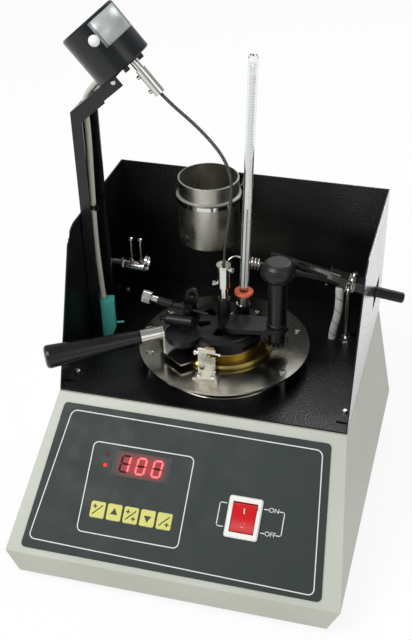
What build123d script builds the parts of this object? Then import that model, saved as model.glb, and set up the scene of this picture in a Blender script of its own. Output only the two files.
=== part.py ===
from build123d import *
import os
from math import acos, atan2, cos, degrees, hypot, pi, radians, sin, sqrt

# Closed-cup flash point tester.
# Everything is modelled from the middle of the deck's front edge, with X to the right,
# Y to the back, Z up and Z = 0 on the deck. The last step moves the whole tester so that
# the origin lies on the table under its middle. All sizes are in millimetres.

# ---------------------------------------------------------------- cabinet
DECK_W = 226.2           # width of the deck and of the hood over it
DECK_D = 168.7           # depth of the deck
DECK_T = 1.5             # deck sheet
DECK_HOLE_R = 54.0       # hole round the heater
SPARE_HOLE = (DECK_W / 2 - 15.8, 124.8, 2.6)    # x, y and radius of an unused hole in the deck
PANEL_RUN = 95.6         # the sloped panel reaches this far forward
PANEL_DROP = 86.4        # and falls this far
FLARE_W = 257.8          # width at the foot of the sloped panel
LIP_W = 239.4            # width at the bottom, under the tucked-in lip
LIP_H = 19.6
SHEET = 1.5              # cabinet sheet
RIM = 12.0               # turned-in rim that carries the deck
BASE_T = 1.6             # bottom cover
FOOT_R = 9.0
FOOT_H = 8.0
FOOT_INSET = 30.0
VENT_X = -40.0           # middle of the vents in the back
VENT_Z = -28.0
VENT_ROWS = 3
VENT_ROW = 16.0
VENT_COUNT = 8
VENT_PITCH = 9.0
VENT_W = 3.0
VENT_H = 12.0
INLET_X = 72.0           # mains inlet in the back
INLET_Z = -62.0
INLET_W = 28.0
INLET_H = 20.5
INLET_FLANGE = (50.0, 23.0, 2.2)      # width, height and thickness
INLET_DEPTH = 18.0
INLET_PIN = (2.0, 4.0, 11.0)
INLET_PINS = ((-7.0, -2.0), (0.0, 2.0), (7.0, -2.0))
SCREW_R = 1.5            # the screws that hold the sheets together
SCREW_HOLE_R = 1.6
SCREW_HEAD_R = 2.6
SCREW_HEAD_H = 1.6
SCREW_L = 3.0
BASE_Z = -(PANEL_DROP + LIP_H)

# ---------------------------------------------------------------- hood
HOOD_H = 115.2
HOOD_T = 1.2
HOOD_KNEE_Y = 47.0       # where the slanted front edge meets the top edge
HOOD_KNEE_R = 20.0
TAB_L = 24.0             # tabs folded in over the deck
TAB_W = 9.0
TAB_Y = (22.5, 145.9)
SLOT_Y = (110.3, 143.0)  # opening for the lighter's handle
SLOT_Z = (36.5, 51.5)

# ---------------------------------------------------------------- front panel
OVERLAY_X = -1.8
OVERLAY_TOP_W = 209.4
OVERLAY_FOOT_W = 231.8
OVERLAY_S = (10.0, 124.0)     # from the deck's edge down the slope
OVERLAY_T = 0.8
WINDOW = (-36.5, 49.8, 46.0, 19.0)    # x, s, width, height of the display window
LAMP_X = -64.5
LAMP_S = (45.0, 53.0)
LAMP_R = 1.5
KEY_S = 87.0
KEY_FIRST_X = -63.2
KEY_PITCH = 13.1
KEY_COUNT = 5
KEY_W = 11.5
KEY_H = 12.3
KEY_T = 0.9
KEY_PROUD = 0.5
KEY_GAP = 0.3
SWITCH_X = 48.0
SWITCH_S = 74.5
BEZEL_W = 25.5
BEZEL_H = 31.0
BEZEL_T = 2.4
ROCKER_W = 18.0
ROCKER_R = 11.0          # half length, measured from its pivot
ROCKER_TILT = 9.0
ROCKER_GAP = 0.35
ROCKER_PIVOT = -1.0      # the rocker's pin, below the film
ROCKER_PIN_R = 1.25
SWITCH_DEPTH = 16.0
BOARD = (-10.0, 62.0, 170.0, 92.0)    # x, s, width, height of the circuit board
BOARD_T = 1.6
BOARD_DEPTH = 12.4       # from the panel's face to the board
PILLAR_R = 2.5
PILLARS_X = (-88.0, 66.0)
PILLARS_S = (24.0, 100.0)
TRANSFORMER_AT = (-62.0, 118.0)
CORE = (46.0, 38.0, 40.0)
WINDING = (30.0, 54.0, 26.0)

# ---------------------------------------------------------------- heater and cup
CUP_X = 1.5              # axis of the cup, the lid and the stirrer
CUP_Y = 69.0
PLATE_TOP = 16.0         # top of the round heater plate
PLATE_T = 1.6
PLATE_R = 68.0
POST_R = 3.2
POST_RING = 60.6
POST_ANGLES = (28.0, 152.0, 208.0, 332.0)
BATH_R = 44.0
BATH_BORE = 29.0
BATH_BOTTOM = -46.0
HEATER_T = 3.0
BATH_FLOOR = 7.0
BATH_LIP = 5.0
BAND_H = 34.0
BAND_LIFT = 8.0          # bottom of the band heater above the bottom of the bath
BAND_SPLIT = 4.0
JACKET_R = 53.5
JACKET_SHEET = 1.2
CUP_BORE = 25.4
CUP_R = 27.0
CUP_DEPTH = 56.0
CUP_RIM_Z = 24.4
CUP_FLOOR = 2.4
FLANGE_R = 39.7
FLANGE_T = 4.0
COLLAR_R = 31.0
HANDLE_ANGLE = 212.5     # bearing of the cup's handle about the cup
HANDLE_Z = 36.2
HANDLE_DROP = 1.5        # degrees the handle falls toward its end
TAB_AT = 51.0            # distance from the cup's axis to the handle plate's upright tab
TAB_HALF = 6.2
FERRULE_L = 16.5
GRIP_L = 74.0
GRIP_R = (5.8, 9.1)      # at the ferrule and at the far end
LATCH_Y = 26.2           # middle of the upright latch plate
LATCH_T = 1.4
LATCH_X = (-8.0, 5.8)
LATCH_TOP = 38.0
LATCH_SLOT = (31.0, 34.4)
LATCH_FOOT_X = (-10.2, 8.6)
LATCH_FOOT_Y = 16.0
LATCH_FEET = ((-6.4, 21.4), (5.4, 21.4))
LUG_X = (-4.5, 2.5)      # the cup's lug behind the latch
LUG_SPAN_Y = (28.6, 35.0)
LUG_TOP = 33.6
LATCH_PIN = (1.0, 32.6, 1.2)          # x, z and radius of the pin in the slot
LATCH_SCREW = (-12.0, 31.8, 29.6)     # start of the long screw through the lug
LATCH_SCREW_L = 20.0
CUP_SCREWS = ((34.8, 3.0), (34.8, -13.0))
HANDLE_SHEET = 1.5

# ---------------------------------------------------------------- lid
LID_GAP = 0.1
LID_RING_R = 30.8
LID_RING_WALL = 2.4
LID_FLOOR_T = 2.2
SHUTTER_T = 1.8
SHUTTER_GAP = 0.3
LID_TOP_Z = 36.0
LID_TOP_T = 2.8
PORT_R = (11.0, 21.0)    # inner and outer radius of the three ports in the lid
PORT_ANGLES = (145.0, 207.0, 269.0)
PORT_SPAN = 24.0
SHUTTER_TURN = 30.0
RIM_SPAN = (-14.0, 31.0)     # bearings of the shutter's toothed rim when shut
WEB_SPAN = (-13.0, 10.0)     # bearings of the web that carries the rim
GEAR_MODULE = 1.25
PINION_TEETH = 14
SHUTTER_TEETH = 56       # counted round the whole circle
GEAR_PLAY = 0.5          # taken off the width of each tooth
KNOB_BEARING = -6.4      # bearing of the knob's shaft about the cup
ARM_TOP = 43.1           # the arm stands clear of the lid on a boss
ARM_T = 4.0
ARM_R = 9.0
ARM_ROOT = (13.5, 60.0, 11.0)    # x, y and radius of the arm's inner end
ARM_BOSS_R = 8.0
KNOB_SHAFT_R = 7.2
KNOB_PIN_R = 3.0
KNOB_BOTTOM = 84.5
KNOB_PROFILE = (         # radius and height above the shaft's end
    (10.0, 0.0), (11.6, 1.8), (12.6, 3.6), (13.2, 5.4), (13.3, 7.0), (13.1, 8.6), (12.5, 10.6), (11.6, 12.4),
    (10.4, 13.8), (9.4, 14.6), (8.2, 15.0),
)
FIT = 0.05               # running clearance of a pin or shaft, on the radius
BOSS_R = 5.0
BOSS_TOP = 58.1
SPINDLE_R = 2.5
SLEEVE_R = 5.0
SLEEVE_TOP = 87.8
SLEEVE_START = 10.0      # above the bearing's top
NECK_R = 3.4
CLAMP_SCREWS = ((85.2, -20.0), (70.8, 190.0))    # height and bearing
STIR_LOW_Z = -24.0       # middles of the two propellers
STIR_HIGH_Z = 6.0
THERMO_X = 14.0
THERMO_Y = 79.5
THERMO_LEAN = 2.1        # the stem leans to the right in its rubber ring
THERMO_R = 3.5
THERMO_TOP = 214.0       # above the lid
THERMO_LOW = 52.0        # below the lid
SOCKET_R = 5.6
SOCKET_H = 12.0
FERRULE_R = 4.8
FERRULE_H = 9.4
RING_R = 7.6

# ---------------------------------------------------------------- pilot burner
PIVOT_X = -26.0
BURNER_Y = 62.0
PIVOT_Z = 47.7
BURNER_TILT = 10.2       # the jet end points down
TUBE_R = 3.1
NOZZLE_R = 1.3
JET_L = 17.3
TUBE_L = 24.4
VALVE_R = 4.8
VALVE_L = 6.6
PIN_R = 1.5
LUG_Y = 67.6
LUG_T = 2.4
EYE = (-23.4, 58.2)
LOBE_X = -25.0
LOBE_Y = 46.7
LOBE_R = 14.5
CHAMBER_R = 4.5
CHAMBER_X = (-42.0, -20.0)
CHAMBER_Y = 54.4

# ---------------------------------------------------------------- stirrer drive
COLUMN_X = 1.8 - DECK_W / 2            # outer face, just inside the hood's left wall
COLUMN_Y = (70.0, 94.0)
COLUMN_FLANGE = 12.0     # the back flange, and the foot
FRONT_FLANGE = 8.4
ARM_DEPTH = 10.5
COLUMN_SHEET = 1.6
COLUMN_TOP = 198.3
MOTOR_R = 22.3
MOTOR_L = 39.2
MOTOR_SEAM = 18.0        # from the face to the joint of the two halves
POST_AT = 15.7           # the posts' distance from the motor's axis
MOTOR_Y = 82.0
MOTOR_SLOPE = 40.5       # slope of the plate that carries the motor
ARM_L = 26.6
BRACKET_L = 47.0
LIP_H = 9.0
MOTOR_AT = 51.8          # distance along the slope from the column to the motor's middle
SHAFT_OFFSET = 8.0
BRACKET_SCREW_AT = 43.5
LIP_SCREW_R = 1.2
SHAFT_R = 3.0
MOTOR_POSTS = (-62.0, 8.0, 62.0)   # bearings of the posts on the motor's face
COUPLING_R = 3.9
COUPLING_SPAN = (8.4, 30.0)
FLEX_R = 1.25
LEAD_R = 2.3
LEAD_ROUTE = (           # chosen by hand, x from the column: over the arm, through it and down the channel
    (19.0, 82.5, 218.6), (4.2, 86.0, 206.0), (6.8, 84.5, 184.0), (6.2, 82.5, 140.0),
    (5.0, 82.0, 96.0), (5.6, 82.0, 60.0), (7.4, 81.2, 32.0),
)
LEAD_HOLE = (1.6, 6.5, 194.0, 214.0)  # x and z of the hole that lets the lead into the arm
TIE_AT = 0.44            # the cable tie's place on the lead's fourth stretch
TIE_W = 3.0
BLOCK_AT = (9.8, 80.2)   # the connector at the end of the lead, x from the column
BLOCK_W = 13.5
BLOCK_T = 9.2
BLOCK_H = 34.0
BLOCK_TURN = 18.0
FLEX_ROUTE = (           # chosen by hand between the coupling and the stirrer
    (-17.0, 79.2, 191.8), (1.8, 76.0, 173.0), (7.8, 73.6, 155.0), (6.4, 71.0, 130.0),
)

# ---------------------------------------------------------------- gas taps
TAP_Y = 115.0
TAP_Z = 46.5
TAP_R = 4.5
TAP_X = (23.6 - DECK_W / 2, 31.6 - DECK_W / 2)
TAP_STEM_R = 1.1
TAP_L = 37.2
CLIP_R = 5.3

# ---------------------------------------------------------------- spare cup and its hoop
SPARE_X = -28.5
SPARE_Y = 138.0
SPARE_R = 24.6
SPARE_WALL = 1.2
HOOP_Z = HOOD_H - 8.7    # the hoop hangs just under the hood's top edge
SPARE_Z = (HOOP_Z - 38.0, HOOP_Z + 18.0)
HOOP_SCREW_Z = HOOP_Z + 4.6
HOOP_EAR = (9.0, 9.0)    # width and height of the ears on the back wall
HOOP_H = 3.2
HOOP_T = 1.4
HOOP_GAP = 0.3

# ---------------------------------------------------------------- electric lighter
POST_X = DECK_W / 2 - 20.5
POST_Y = 115.8
POST_TOP = 54.6
ROD_R = 2.0
BRACKET_Y = (119.6, 130.0)        # front and back of the bracket
BRACKET_SHEET = 1.4
BRACKET_X = (-11.1, 18.4)
BRACKET_Z = (-4.8, 7.0)
BRACKET_FRONT_Z = -1.6   # the front side of the channel ends higher
BRACKET_EAR_Z = 9.3
GUARD = ((10.0, 7.0), (69.0, 6.6), (64.0, -7.0), (52.0, -7.0), (33.0, -3.5), (10.0, -1.6))
GUARD_T = 1.6
LEVER_Y = 123.6          # the lever passes behind the rod at this Y and Z
LEVER_Z = 48.7
LEVER_YAW = 8.25         # turned to the front, towards the coil
LEVER_TILT = 12.0        # the coil end is higher
LEVER_R = 2.5
HANDLE_R = 4.35
HANDLE_SPAN = (-44.2, -20.4)     # the grip on the lever, from the rod
COIL_AT = 74.9           # distance from the rod to the coil
COIL_TURNS = 4
COIL_PITCH = 2.7
COIL_R = 4.5
WIRE_R = 0.8
SLEEVE_FOOT = (POST_X - 12.1, 117.7)
SLEEVE_BEND = ((3.2, 0.7, 19.0), (4.4, 2.0, 32.0), (3.4, 4.5, 47.0))    # x and y from the foot
BRAID_R = 3.3

# ---------------------------------------------------------------- worked out from the above
SLOPE = degrees(atan2(PANEL_DROP, PANEL_RUN))
PANEL = Plane(origin=(0, 0, 0), x_dir=(1, 0, 0), z_dir=(0, -sin(radians(SLOPE)), cos(radians(SLOPE))))
CUP_AXIS = Pos(CUP_X, CUP_Y, 0)
CUP_BOTTOM = CUP_RIM_Z - CUP_DEPTH - CUP_FLOOR
FLANGE_TOP = PLATE_TOP + FLANGE_T
RING_Z = CUP_RIM_Z + LID_GAP
SHUTTER_Z = RING_Z + LID_FLOOR_T + SHUTTER_GAP
PINION_PITCH_R = GEAR_MODULE * PINION_TEETH / 2
SHUTTER_PITCH_R = GEAR_MODULE * SHUTTER_TEETH / 2
KNOB_REACH = PINION_PITCH_R + SHUTTER_PITCH_R
KNOB_X = CUP_X + KNOB_REACH * cos(radians(KNOB_BEARING))
KNOB_Y = CUP_Y + KNOB_REACH * sin(radians(KNOB_BEARING))
MOTOR_PLANE = Plane(
    origin=(COLUMN_X, MOTOR_Y, COLUMN_TOP),
    x_dir=(cos(radians(MOTOR_SLOPE)), 0, sin(radians(MOTOR_SLOPE))),
    z_dir=(sin(radians(MOTOR_SLOPE)), 0, -cos(radians(MOTOR_SLOPE))),
)


def along(plane, x, y=0.0, z=0.0):
    """A place given in a plane's own directions."""
    return plane.location * Pos(x, y, z)


def on_panel(x, s, n=0.0):
    """A place on the sloped panel: x across, s down the slope, n out of it."""
    return along(PANEL, x, -s, n)


def rod(radius, length, place=Pos(0, 0, 0)):
    """A cylinder that starts at the place and runs along its Z."""
    return place * Cylinder(radius, length, align=(Align.CENTER, Align.CENTER, Align.MIN))


def slab(width, depth, height, place=Pos(0, 0, 0)):
    """A box that stands on the place, centred on it."""
    return place * Box(width, depth, height, align=(Align.CENTER, Align.CENTER, Align.MIN))


def between(xs, ys, zs):
    """A box given by its two ends along each axis."""
    middle = [(a + b) / 2 for a, b in (xs, ys, zs)]
    return Pos(*middle) * Box(xs[1] - xs[0], ys[1] - ys[0], zs[1] - zs[0])


def turned(points, place=Pos(0, 0, 0)):
    """A solid of revolution about the place's Z, from its (radius, height) outline."""
    outline = make_face(Plane.XZ * Polyline(*points, close=True))
    return place * revolve(outline, Axis.Z)


def screw(place, head_r=SCREW_HEAD_R, head_h=SCREW_HEAD_H, shank_r=SCREW_R, shank_l=SCREW_L):
    """A pan-head screw with a slot, whose head stands on the place."""
    head = turned([(0, 0), (head_r, 0), (head_r * 0.9, head_h * 0.7), (head_r * 0.5, head_h), (0, head_h)])
    head -= slab(head_r * 2, head_r * 0.25, head_h, Pos(0, 0, head_h * 0.6))
    return place * (head + rod(shank_r, shank_l, Pos(0, 0, -shank_l)))


def hexagon(across, height, place=Pos(0, 0, 0)):
    return place * extrude(RegularPolygon(across / sqrt(3), 6), height)


def sector(r_in, r_out, start, end):
    """A flat ring sector between two bearings, in degrees, about the origin."""
    outer = Edge.make_circle(r_out, start_angle=start, end_angle=end)
    inner = Edge.make_circle(r_in, start_angle=start, end_angle=end)
    return make_face([outer, inner, Line(inner @ 0, outer @ 0), Line(inner @ 1, outer @ 1)])


def biarc(start, start_dir, end, end_dir):
    """Two arcs, tangent to both directions and to each other."""
    v = end - start
    t = start_dir + end_dir
    spread = 2 * (1 - start_dir.dot(end_dir))
    reach = (-v.dot(t) + sqrt(v.dot(t) ** 2 + spread * v.dot(v))) / spread
    middle = ((start + start_dir * reach) + (end - end_dir * reach)) * 0.5
    middle_dir = ((end - end_dir * reach) - (start + start_dir * reach)).normalized()
    return [
        Edge.make_tangent_arc(start, start_dir, middle),
        Edge.make_tangent_arc(middle, middle_dir, end),
    ]


def least_gap(points, radius, skip):
    """The smallest clear space between stretches of a tube, from points along it."""
    gap = None
    for i, p in enumerate(points):
        for q in points[i + skip:]:
            d = (p - q).length - 2 * radius
            gap = d if gap is None or d < gap else gap
    return gap


def corded(points, radius, name):
    """A cord: straight runs joined by tangent arcs, with round ends cut square."""
    points = [Vector(*p) for p in points]
    radii = []
    for a, b, c in zip(points, points[1:], points[2:]):
        turn = acos(max(-1, min(1, (b - a).normalized().dot((c - b).normalized()))))
        radii.append(0.45 * min((b - a).length, (c - b).length) / max(sin(turn / 2) / cos(turn / 2), 1e-6))
    print(name, "bend radii", [round(r, 1) for r in radii])
    path = FilletPolyline(*points, radius=radii)
    start = Plane(origin=path @ 0, z_dir=path % 0)
    return sweep(start * Circle(radius), path=path)


# ================================================================ cabinet

def cabinet_solid(inset):
    """The flared cabinet as a solid, with every face moved in by the inset."""
    top_y = -PANEL_RUN * DECK_T / PANEL_DROP
    side = make_face(Polyline(
        (top_y, -DECK_T), (DECK_D, -DECK_T), (DECK_D, BASE_Z),
        (-PANEL_RUN, BASE_Z), (-PANEL_RUN, -PANEL_DROP), close=True,
    ))
    front = make_face(Polyline(
        (-DECK_W / 2, -DECK_T), (DECK_W / 2, -DECK_T), (FLARE_W / 2, -PANEL_DROP),
        (LIP_W / 2, BASE_Z), (-LIP_W / 2, BASE_Z), (-FLARE_W / 2, -PANEL_DROP), close=True,
    ))
    if inset:
        side = offset(side, -inset, kind=Kind.INTERSECTION)
        front = offset(front, -inset, kind=Kind.INTERSECTION)
    lengthways = extrude(Plane.YZ * side, FLARE_W, both=True)
    across = extrude(Plane.XZ * front, DECK_D * 2, both=True)
    return lengthways & across


def cabinet_shell():
    inner = cabinet_solid(SHEET)
    floor = inner.faces().sort_by(Axis.Z)[0]
    shell = cabinet_solid(0) - inner - extrude(floor, SHEET * 2, dir=(0, 0, -1))
    shell -= between(
        (RIM - DECK_W / 2, DECK_W / 2 - RIM), (RIM, DECK_D - RIM), (-DECK_T - SHEET * 2, 0)
    )
    shell -= slab(WINDOW[2] - 4, WINDOW[3] - 4, SHEET * 4, on_panel(WINDOW[0], WINDOW[1], -SHEET * 2))
    shell -= slab(BEZEL_W - 3, BEZEL_H - 3, SHEET * 4, on_panel(SWITCH_X, SWITCH_S, -SHEET * 2))
    shell -= Pos(INLET_X, DECK_D, INLET_Z) * Box(INLET_W + 0.6, SHEET * 4, INLET_H + 0.6)
    for x, y in [*deck_screw_places(), column_screw()]:
        shell -= rod(SCREW_HOLE_R, SHEET * 4, Pos(x, y, -DECK_T - SHEET * 2))
    for row in range(VENT_ROWS):
        for i in range(VENT_COUNT):
            x = (i - (VENT_COUNT - 1) / 2) * VENT_PITCH + VENT_X
            shell -= Pos(x, DECK_D, VENT_Z - row * VENT_ROW) * Box(VENT_W, SHEET * 4, VENT_H)
    return shell


def power_inlet():
    """A three-pin mains inlet in the back."""
    out = Plane(origin=(INLET_X, DECK_D, INLET_Z), x_dir=(-1, 0, 0), z_dir=(0, 1, 0))
    width, height, thickness = INLET_FLANGE
    flange = extrude(out * RectangleRounded(width, height, height / 6), thickness)
    body = along(out, 0, 0, -INLET_DEPTH / 2) * Box(INLET_W, INLET_H, INLET_DEPTH)
    wall = INLET_W - INLET_H * 1.15
    socket = slab(INLET_W - wall, INLET_H - wall, INLET_DEPTH, along(out, 0, 0, wall - INLET_DEPTH))
    body = flange + body - socket
    for x, y in INLET_PINS:
        body += slab(*INLET_PIN, along(out, x, y, wall / 2 - INLET_DEPTH))
    return body


def base_plate():
    inner = cabinet_solid(SHEET + 0.2)
    floor = inner.faces().sort_by(Axis.Z)[0]
    plate = extrude(floor, SHEET + 0.2, dir=(0, 0, -1))
    return plate - between((-FLARE_W, FLARE_W), (-FLARE_W, FLARE_W), (BASE_Z + BASE_T, 0))


def foot_places():
    for x in (-1, 1):
        for y in (-PANEL_RUN + FOOT_INSET, DECK_D - FOOT_INSET):
            yield Pos(x * (LIP_W / 2 - FOOT_INSET), y, BASE_Z)


def feet():
    foot = turned([
        (0, 0), (FOOT_R, 0), (FOOT_R, -FOOT_H * 0.6), (FOOT_R * 0.86, -FOOT_H), (2.6, -FOOT_H),
        (2.6, -FOOT_H * 0.5), (0, -FOOT_H * 0.5),
    ])
    return [place * foot for place in foot_places()]


def deck_screw_places():
    for x in (-1, 1):
        for y in TAB_Y:
            yield x * (DECK_W / 2 - HOOD_T - TAB_W * 0.5), y


def deck_plate():
    deck = between((-DECK_W / 2, DECK_W / 2), (0, DECK_D), (-DECK_T, 0))
    deck -= rod(DECK_HOLE_R, DECK_T * 4, CUP_AXIS * Pos(0, 0, -DECK_T * 2))
    deck -= rod(BRAID_R + 0.3, DECK_T * 4, Pos(*SLEEVE_FOOT, -DECK_T * 2))
    deck -= rod(ROD_R + 0.2, DECK_T * 4, Pos(POST_X, POST_Y, -DECK_T * 2))
    for place in post_places(0):
        deck -= rod(SCREW_HOLE_R, DECK_T * 4, place * Pos(0, 0, -DECK_T * 2))
    deck -= rod(SPARE_HOLE[2], DECK_T * 4, Pos(SPARE_HOLE[0], SPARE_HOLE[1], -DECK_T * 2))
    for x, y in [*deck_screw_places(), column_screw()]:
        deck -= rod(SCREW_HOLE_R, DECK_T * 4, Pos(x, y, -DECK_T * 2))
    return deck


def hood():
    """One black sheet, folded round the back of the deck."""
    knee = Polyline((0, 0), (DECK_D, 0), (DECK_D, HOOD_H), (HOOD_KNEE_Y, HOOD_H), close=True)
    side = make_face(knee)
    corner = side.vertices().sort_by_distance(Vector(HOOD_KNEE_Y, HOOD_H))[0]
    side = fillet(corner, HOOD_KNEE_R)
    walls = extrude(Plane.YZ * side, DECK_W / 2, both=True)
    walls -= between((HOOD_T - DECK_W / 2, DECK_W / 2 - HOOD_T), (-1, DECK_D - HOOD_T), (-1, HOOD_H + 1))
    for x in (-1, 1):
        for y in TAB_Y:
            inner = x * (DECK_W / 2 - HOOD_T - TAB_W)
            walls += between(sorted((inner, x * DECK_W / 2)), (y - TAB_L / 2, y + TAB_L / 2), (0, HOOD_T))
    for x, y in deck_screw_places():
        walls -= rod(SCREW_HOLE_R, HOOD_T * 4, Pos(x, y, -HOOD_T))
    walls -= between((DECK_W / 2 - HOOD_T * 4, DECK_W / 2 + HOOD_T * 4), SLOT_Y, SLOT_Z)
    for x in hoop_screw_places():
        walls -= rod(SCREW_HOLE_R, HOOD_T * 4, Pos(x, DECK_D + HOOD_T, HOOP_SCREW_Z) * Rot(90, 0, 0))
    return walls


# ================================================================ front panel

def key_x(i):
    return KEY_FIRST_X + i * KEY_PITCH


def panel_overlay():
    top, foot = OVERLAY_TOP_W / 2, OVERLAY_FOOT_W / 2
    plate = make_face(Polyline(
        (-top, -OVERLAY_S[0]), (top, -OVERLAY_S[0]), (foot, -OVERLAY_S[1]), (-foot, -OVERLAY_S[1]),
        close=True,
    ))
    plate = fillet(plate.vertices(), 3.5)
    plate = extrude(PANEL.location * Pos(OVERLAY_X, 0, 0) * plate, OVERLAY_T)
    window_at = on_panel(WINDOW[0], WINDOW[1], -OVERLAY_T)
    plate -= slab(WINDOW[2] + 0.2, WINDOW[3] + 0.2, OVERLAY_T * 3, window_at)
    for i in range(KEY_COUNT):
        hole = RectangleRounded(KEY_W + 2 * KEY_GAP, KEY_H + 2 * KEY_GAP, 1.6)
        plate -= extrude(on_panel(key_x(i), KEY_S, -OVERLAY_T) * hole, OVERLAY_T * 3)
    for s in LAMP_S:
        plate -= rod(LAMP_R + 0.05, OVERLAY_T * 3, on_panel(LAMP_X, s, -OVERLAY_T))
    plate -= slab(BEZEL_W - 3, BEZEL_H - 3, OVERLAY_T * 3, on_panel(SWITCH_X, SWITCH_S, -OVERLAY_T))
    return plate


def display_window():
    return slab(WINDOW[2], WINDOW[3], OVERLAY_T - 0.1, on_panel(WINDOW[0], WINDOW[1], 0))


def indicator_lamps():
    dome = turned([(0, 0.1), (LAMP_R, 0.1), (LAMP_R, 1.1), (LAMP_R * 0.7, 1.7), (0, 2.0)])
    return [on_panel(LAMP_X, s) * dome for s in LAMP_S]


def key(i):
    pad = extrude(RectangleRounded(KEY_W, KEY_H, 1.4), KEY_T)
    pad = chamfer(pad.faces().sort_by(Axis.Z)[-1].edges(), 0.25)
    return on_panel(key_x(i), KEY_S, OVERLAY_T + KEY_PROUD - KEY_T) * pad


def switch_bezel():
    frame = extrude(RectangleRounded(BEZEL_W, BEZEL_H, 2.0), BEZEL_T)
    frame = chamfer(frame.faces().sort_by(Axis.Z)[-1].edges(), 0.9)
    body = slab(BEZEL_W - 4, BEZEL_H - 4, SWITCH_DEPTH, Pos(0, 0, -SWITCH_DEPTH))
    well = slab(
        ROCKER_W + 2 * ROCKER_GAP, ROCKER_R * 2 + 2 * ROCKER_GAP, SWITCH_DEPTH * 2,
        Pos(0, 0, -SWITCH_DEPTH * 0.75),
    )
    pin = rod(ROCKER_PIN_R, ROCKER_W + 4, Pos(-ROCKER_W / 2 - 2, 0, ROCKER_PIVOT) * Rot(0, 90, 0))
    return on_panel(SWITCH_X, SWITCH_S, OVERLAY_T) * (frame + body - well + pin)


def rocker():
    """The red rocker: round ends about its pivot, and a hollowed top."""
    ends = Circle(ROCKER_R) & Rectangle(ROCKER_R * 2, 12)
    top = 4.6
    ends -= Pos(0, top + 24.0) * Circle(26.0)
    block = extrude(Plane.YZ * ends, ROCKER_W / 2, both=True)
    block -= rod(ROCKER_PIN_R + FIT, ROCKER_W * 2, Rot(0, 90, 0) * Pos(0, 0, -ROCKER_W))
    return on_panel(SWITCH_X, SWITCH_S, OVERLAY_T + ROCKER_PIVOT) * Rot(ROCKER_TILT, 0, 0) * block


def control_board():
    """The circuit board behind the panel, with its display block and its pillars."""
    x, s, width, height = BOARD
    board = slab(width, height, BOARD_T, on_panel(x, s, -BOARD_DEPTH - BOARD_T))
    board -= slab(BEZEL_W + 4, BEZEL_H + 4, BOARD_DEPTH, on_panel(SWITCH_X, SWITCH_S, -BOARD_DEPTH * 1.6))
    display = slab(WINDOW[2] - 5, WINDOW[3] - 5, BOARD_DEPTH, on_panel(WINDOW[0], WINDOW[1], -BOARD_DEPTH))
    parts = board + display
    for x in PILLARS_X:
        for s in PILLARS_S:
            parts += rod(PILLAR_R, BOARD_DEPTH - SHEET, on_panel(x, s, -BOARD_DEPTH))
    return parts


def transformer():
    """The supply transformer that stands on the bottom cover."""
    floor = BASE_Z + BASE_T
    core = slab(*CORE, Pos(*TRANSFORMER_AT, floor))
    coil = Pos(*TRANSFORMER_AT, floor + CORE[2] / 2) * Box(*WINDING)
    return core + coil


# ================================================================ heater

def post_places(z):
    for angle in POST_ANGLES:
        a = radians(angle)
        yield Pos(CUP_X + POST_RING * cos(a), CUP_Y + POST_RING * sin(a), z)


def heater_plate():
    plate = rod(PLATE_R, PLATE_T, CUP_AXIS * Pos(0, 0, PLATE_TOP - PLATE_T))
    plate -= rod(BATH_BORE, PLATE_T * 3, CUP_AXIS * Pos(0, 0, PLATE_TOP - 2 * PLATE_T))
    for place in post_places(PLATE_TOP - 2 * PLATE_T):
        plate -= rod(SCREW_HOLE_R, PLATE_T * 4, place)
    for x, y in LATCH_FEET:
        plate -= rod(SCREW_HOLE_R, PLATE_T * 4, Pos(x, y, PLATE_TOP - 2 * PLATE_T))
    return plate


def plate_posts():
    """Four round spacers under the heater plate."""
    height = PLATE_TOP - PLATE_T
    return [rod(POST_R, height, place) - rod(SCREW_HOLE_R, height, place) for place in post_places(0)]


def air_bath():
    """The iron air bath that hangs under the heater plate round the cup."""
    top = PLATE_TOP - PLATE_T
    return turned([
        (BATH_BORE, top), (JACKET_R - 1.5, top), (JACKET_R - 1.5, top - BATH_LIP), (BATH_R, top - BATH_LIP),
        (BATH_R, BATH_BOTTOM), (0, BATH_BOTTOM), (0, BATH_BOTTOM + BATH_FLOOR),
        (BATH_BORE, BATH_BOTTOM + BATH_FLOOR),
    ], CUP_AXIS)


def heater_band():
    low = CUP_AXIS * Pos(0, 0, BATH_BOTTOM + BAND_LIFT)
    band = rod(BATH_R + HEATER_T, BAND_H, low) - rod(BATH_R, BAND_H, low)
    return band - slab(BAND_SPLIT, HEATER_T * 4, BAND_H, low * Pos(0, BATH_R, 0))


def bath_jacket():
    """The sheet can that keeps the bath's heat in."""
    top = PLATE_TOP - PLATE_T - BATH_LIP - 0.3
    low = BATH_BOTTOM - JACKET_SHEET - 4.0
    outer = JACKET_R - 1.8
    inner = outer - JACKET_SHEET
    flange = DECK_HOLE_R + JACKET_SHEET * 2
    return turned([
        (inner, top), (outer, top), (outer, low), (0, low), (0, low + JACKET_SHEET),
        (inner, low + JACKET_SHEET),
    ], CUP_AXIS) + turned([
        (inner + 1.0, -DECK_T - JACKET_SHEET), (flange, -DECK_T - JACKET_SHEET), (flange, -DECK_T),
        (inner + 1.0, -DECK_T),
    ], CUP_AXIS)


# ================================================================ test cup

def handle_frame():
    """Directions at the handle: X away from the cup's axis, Z up."""
    return CUP_AXIS * Rot(0, 0, HANDLE_ANGLE)


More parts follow.
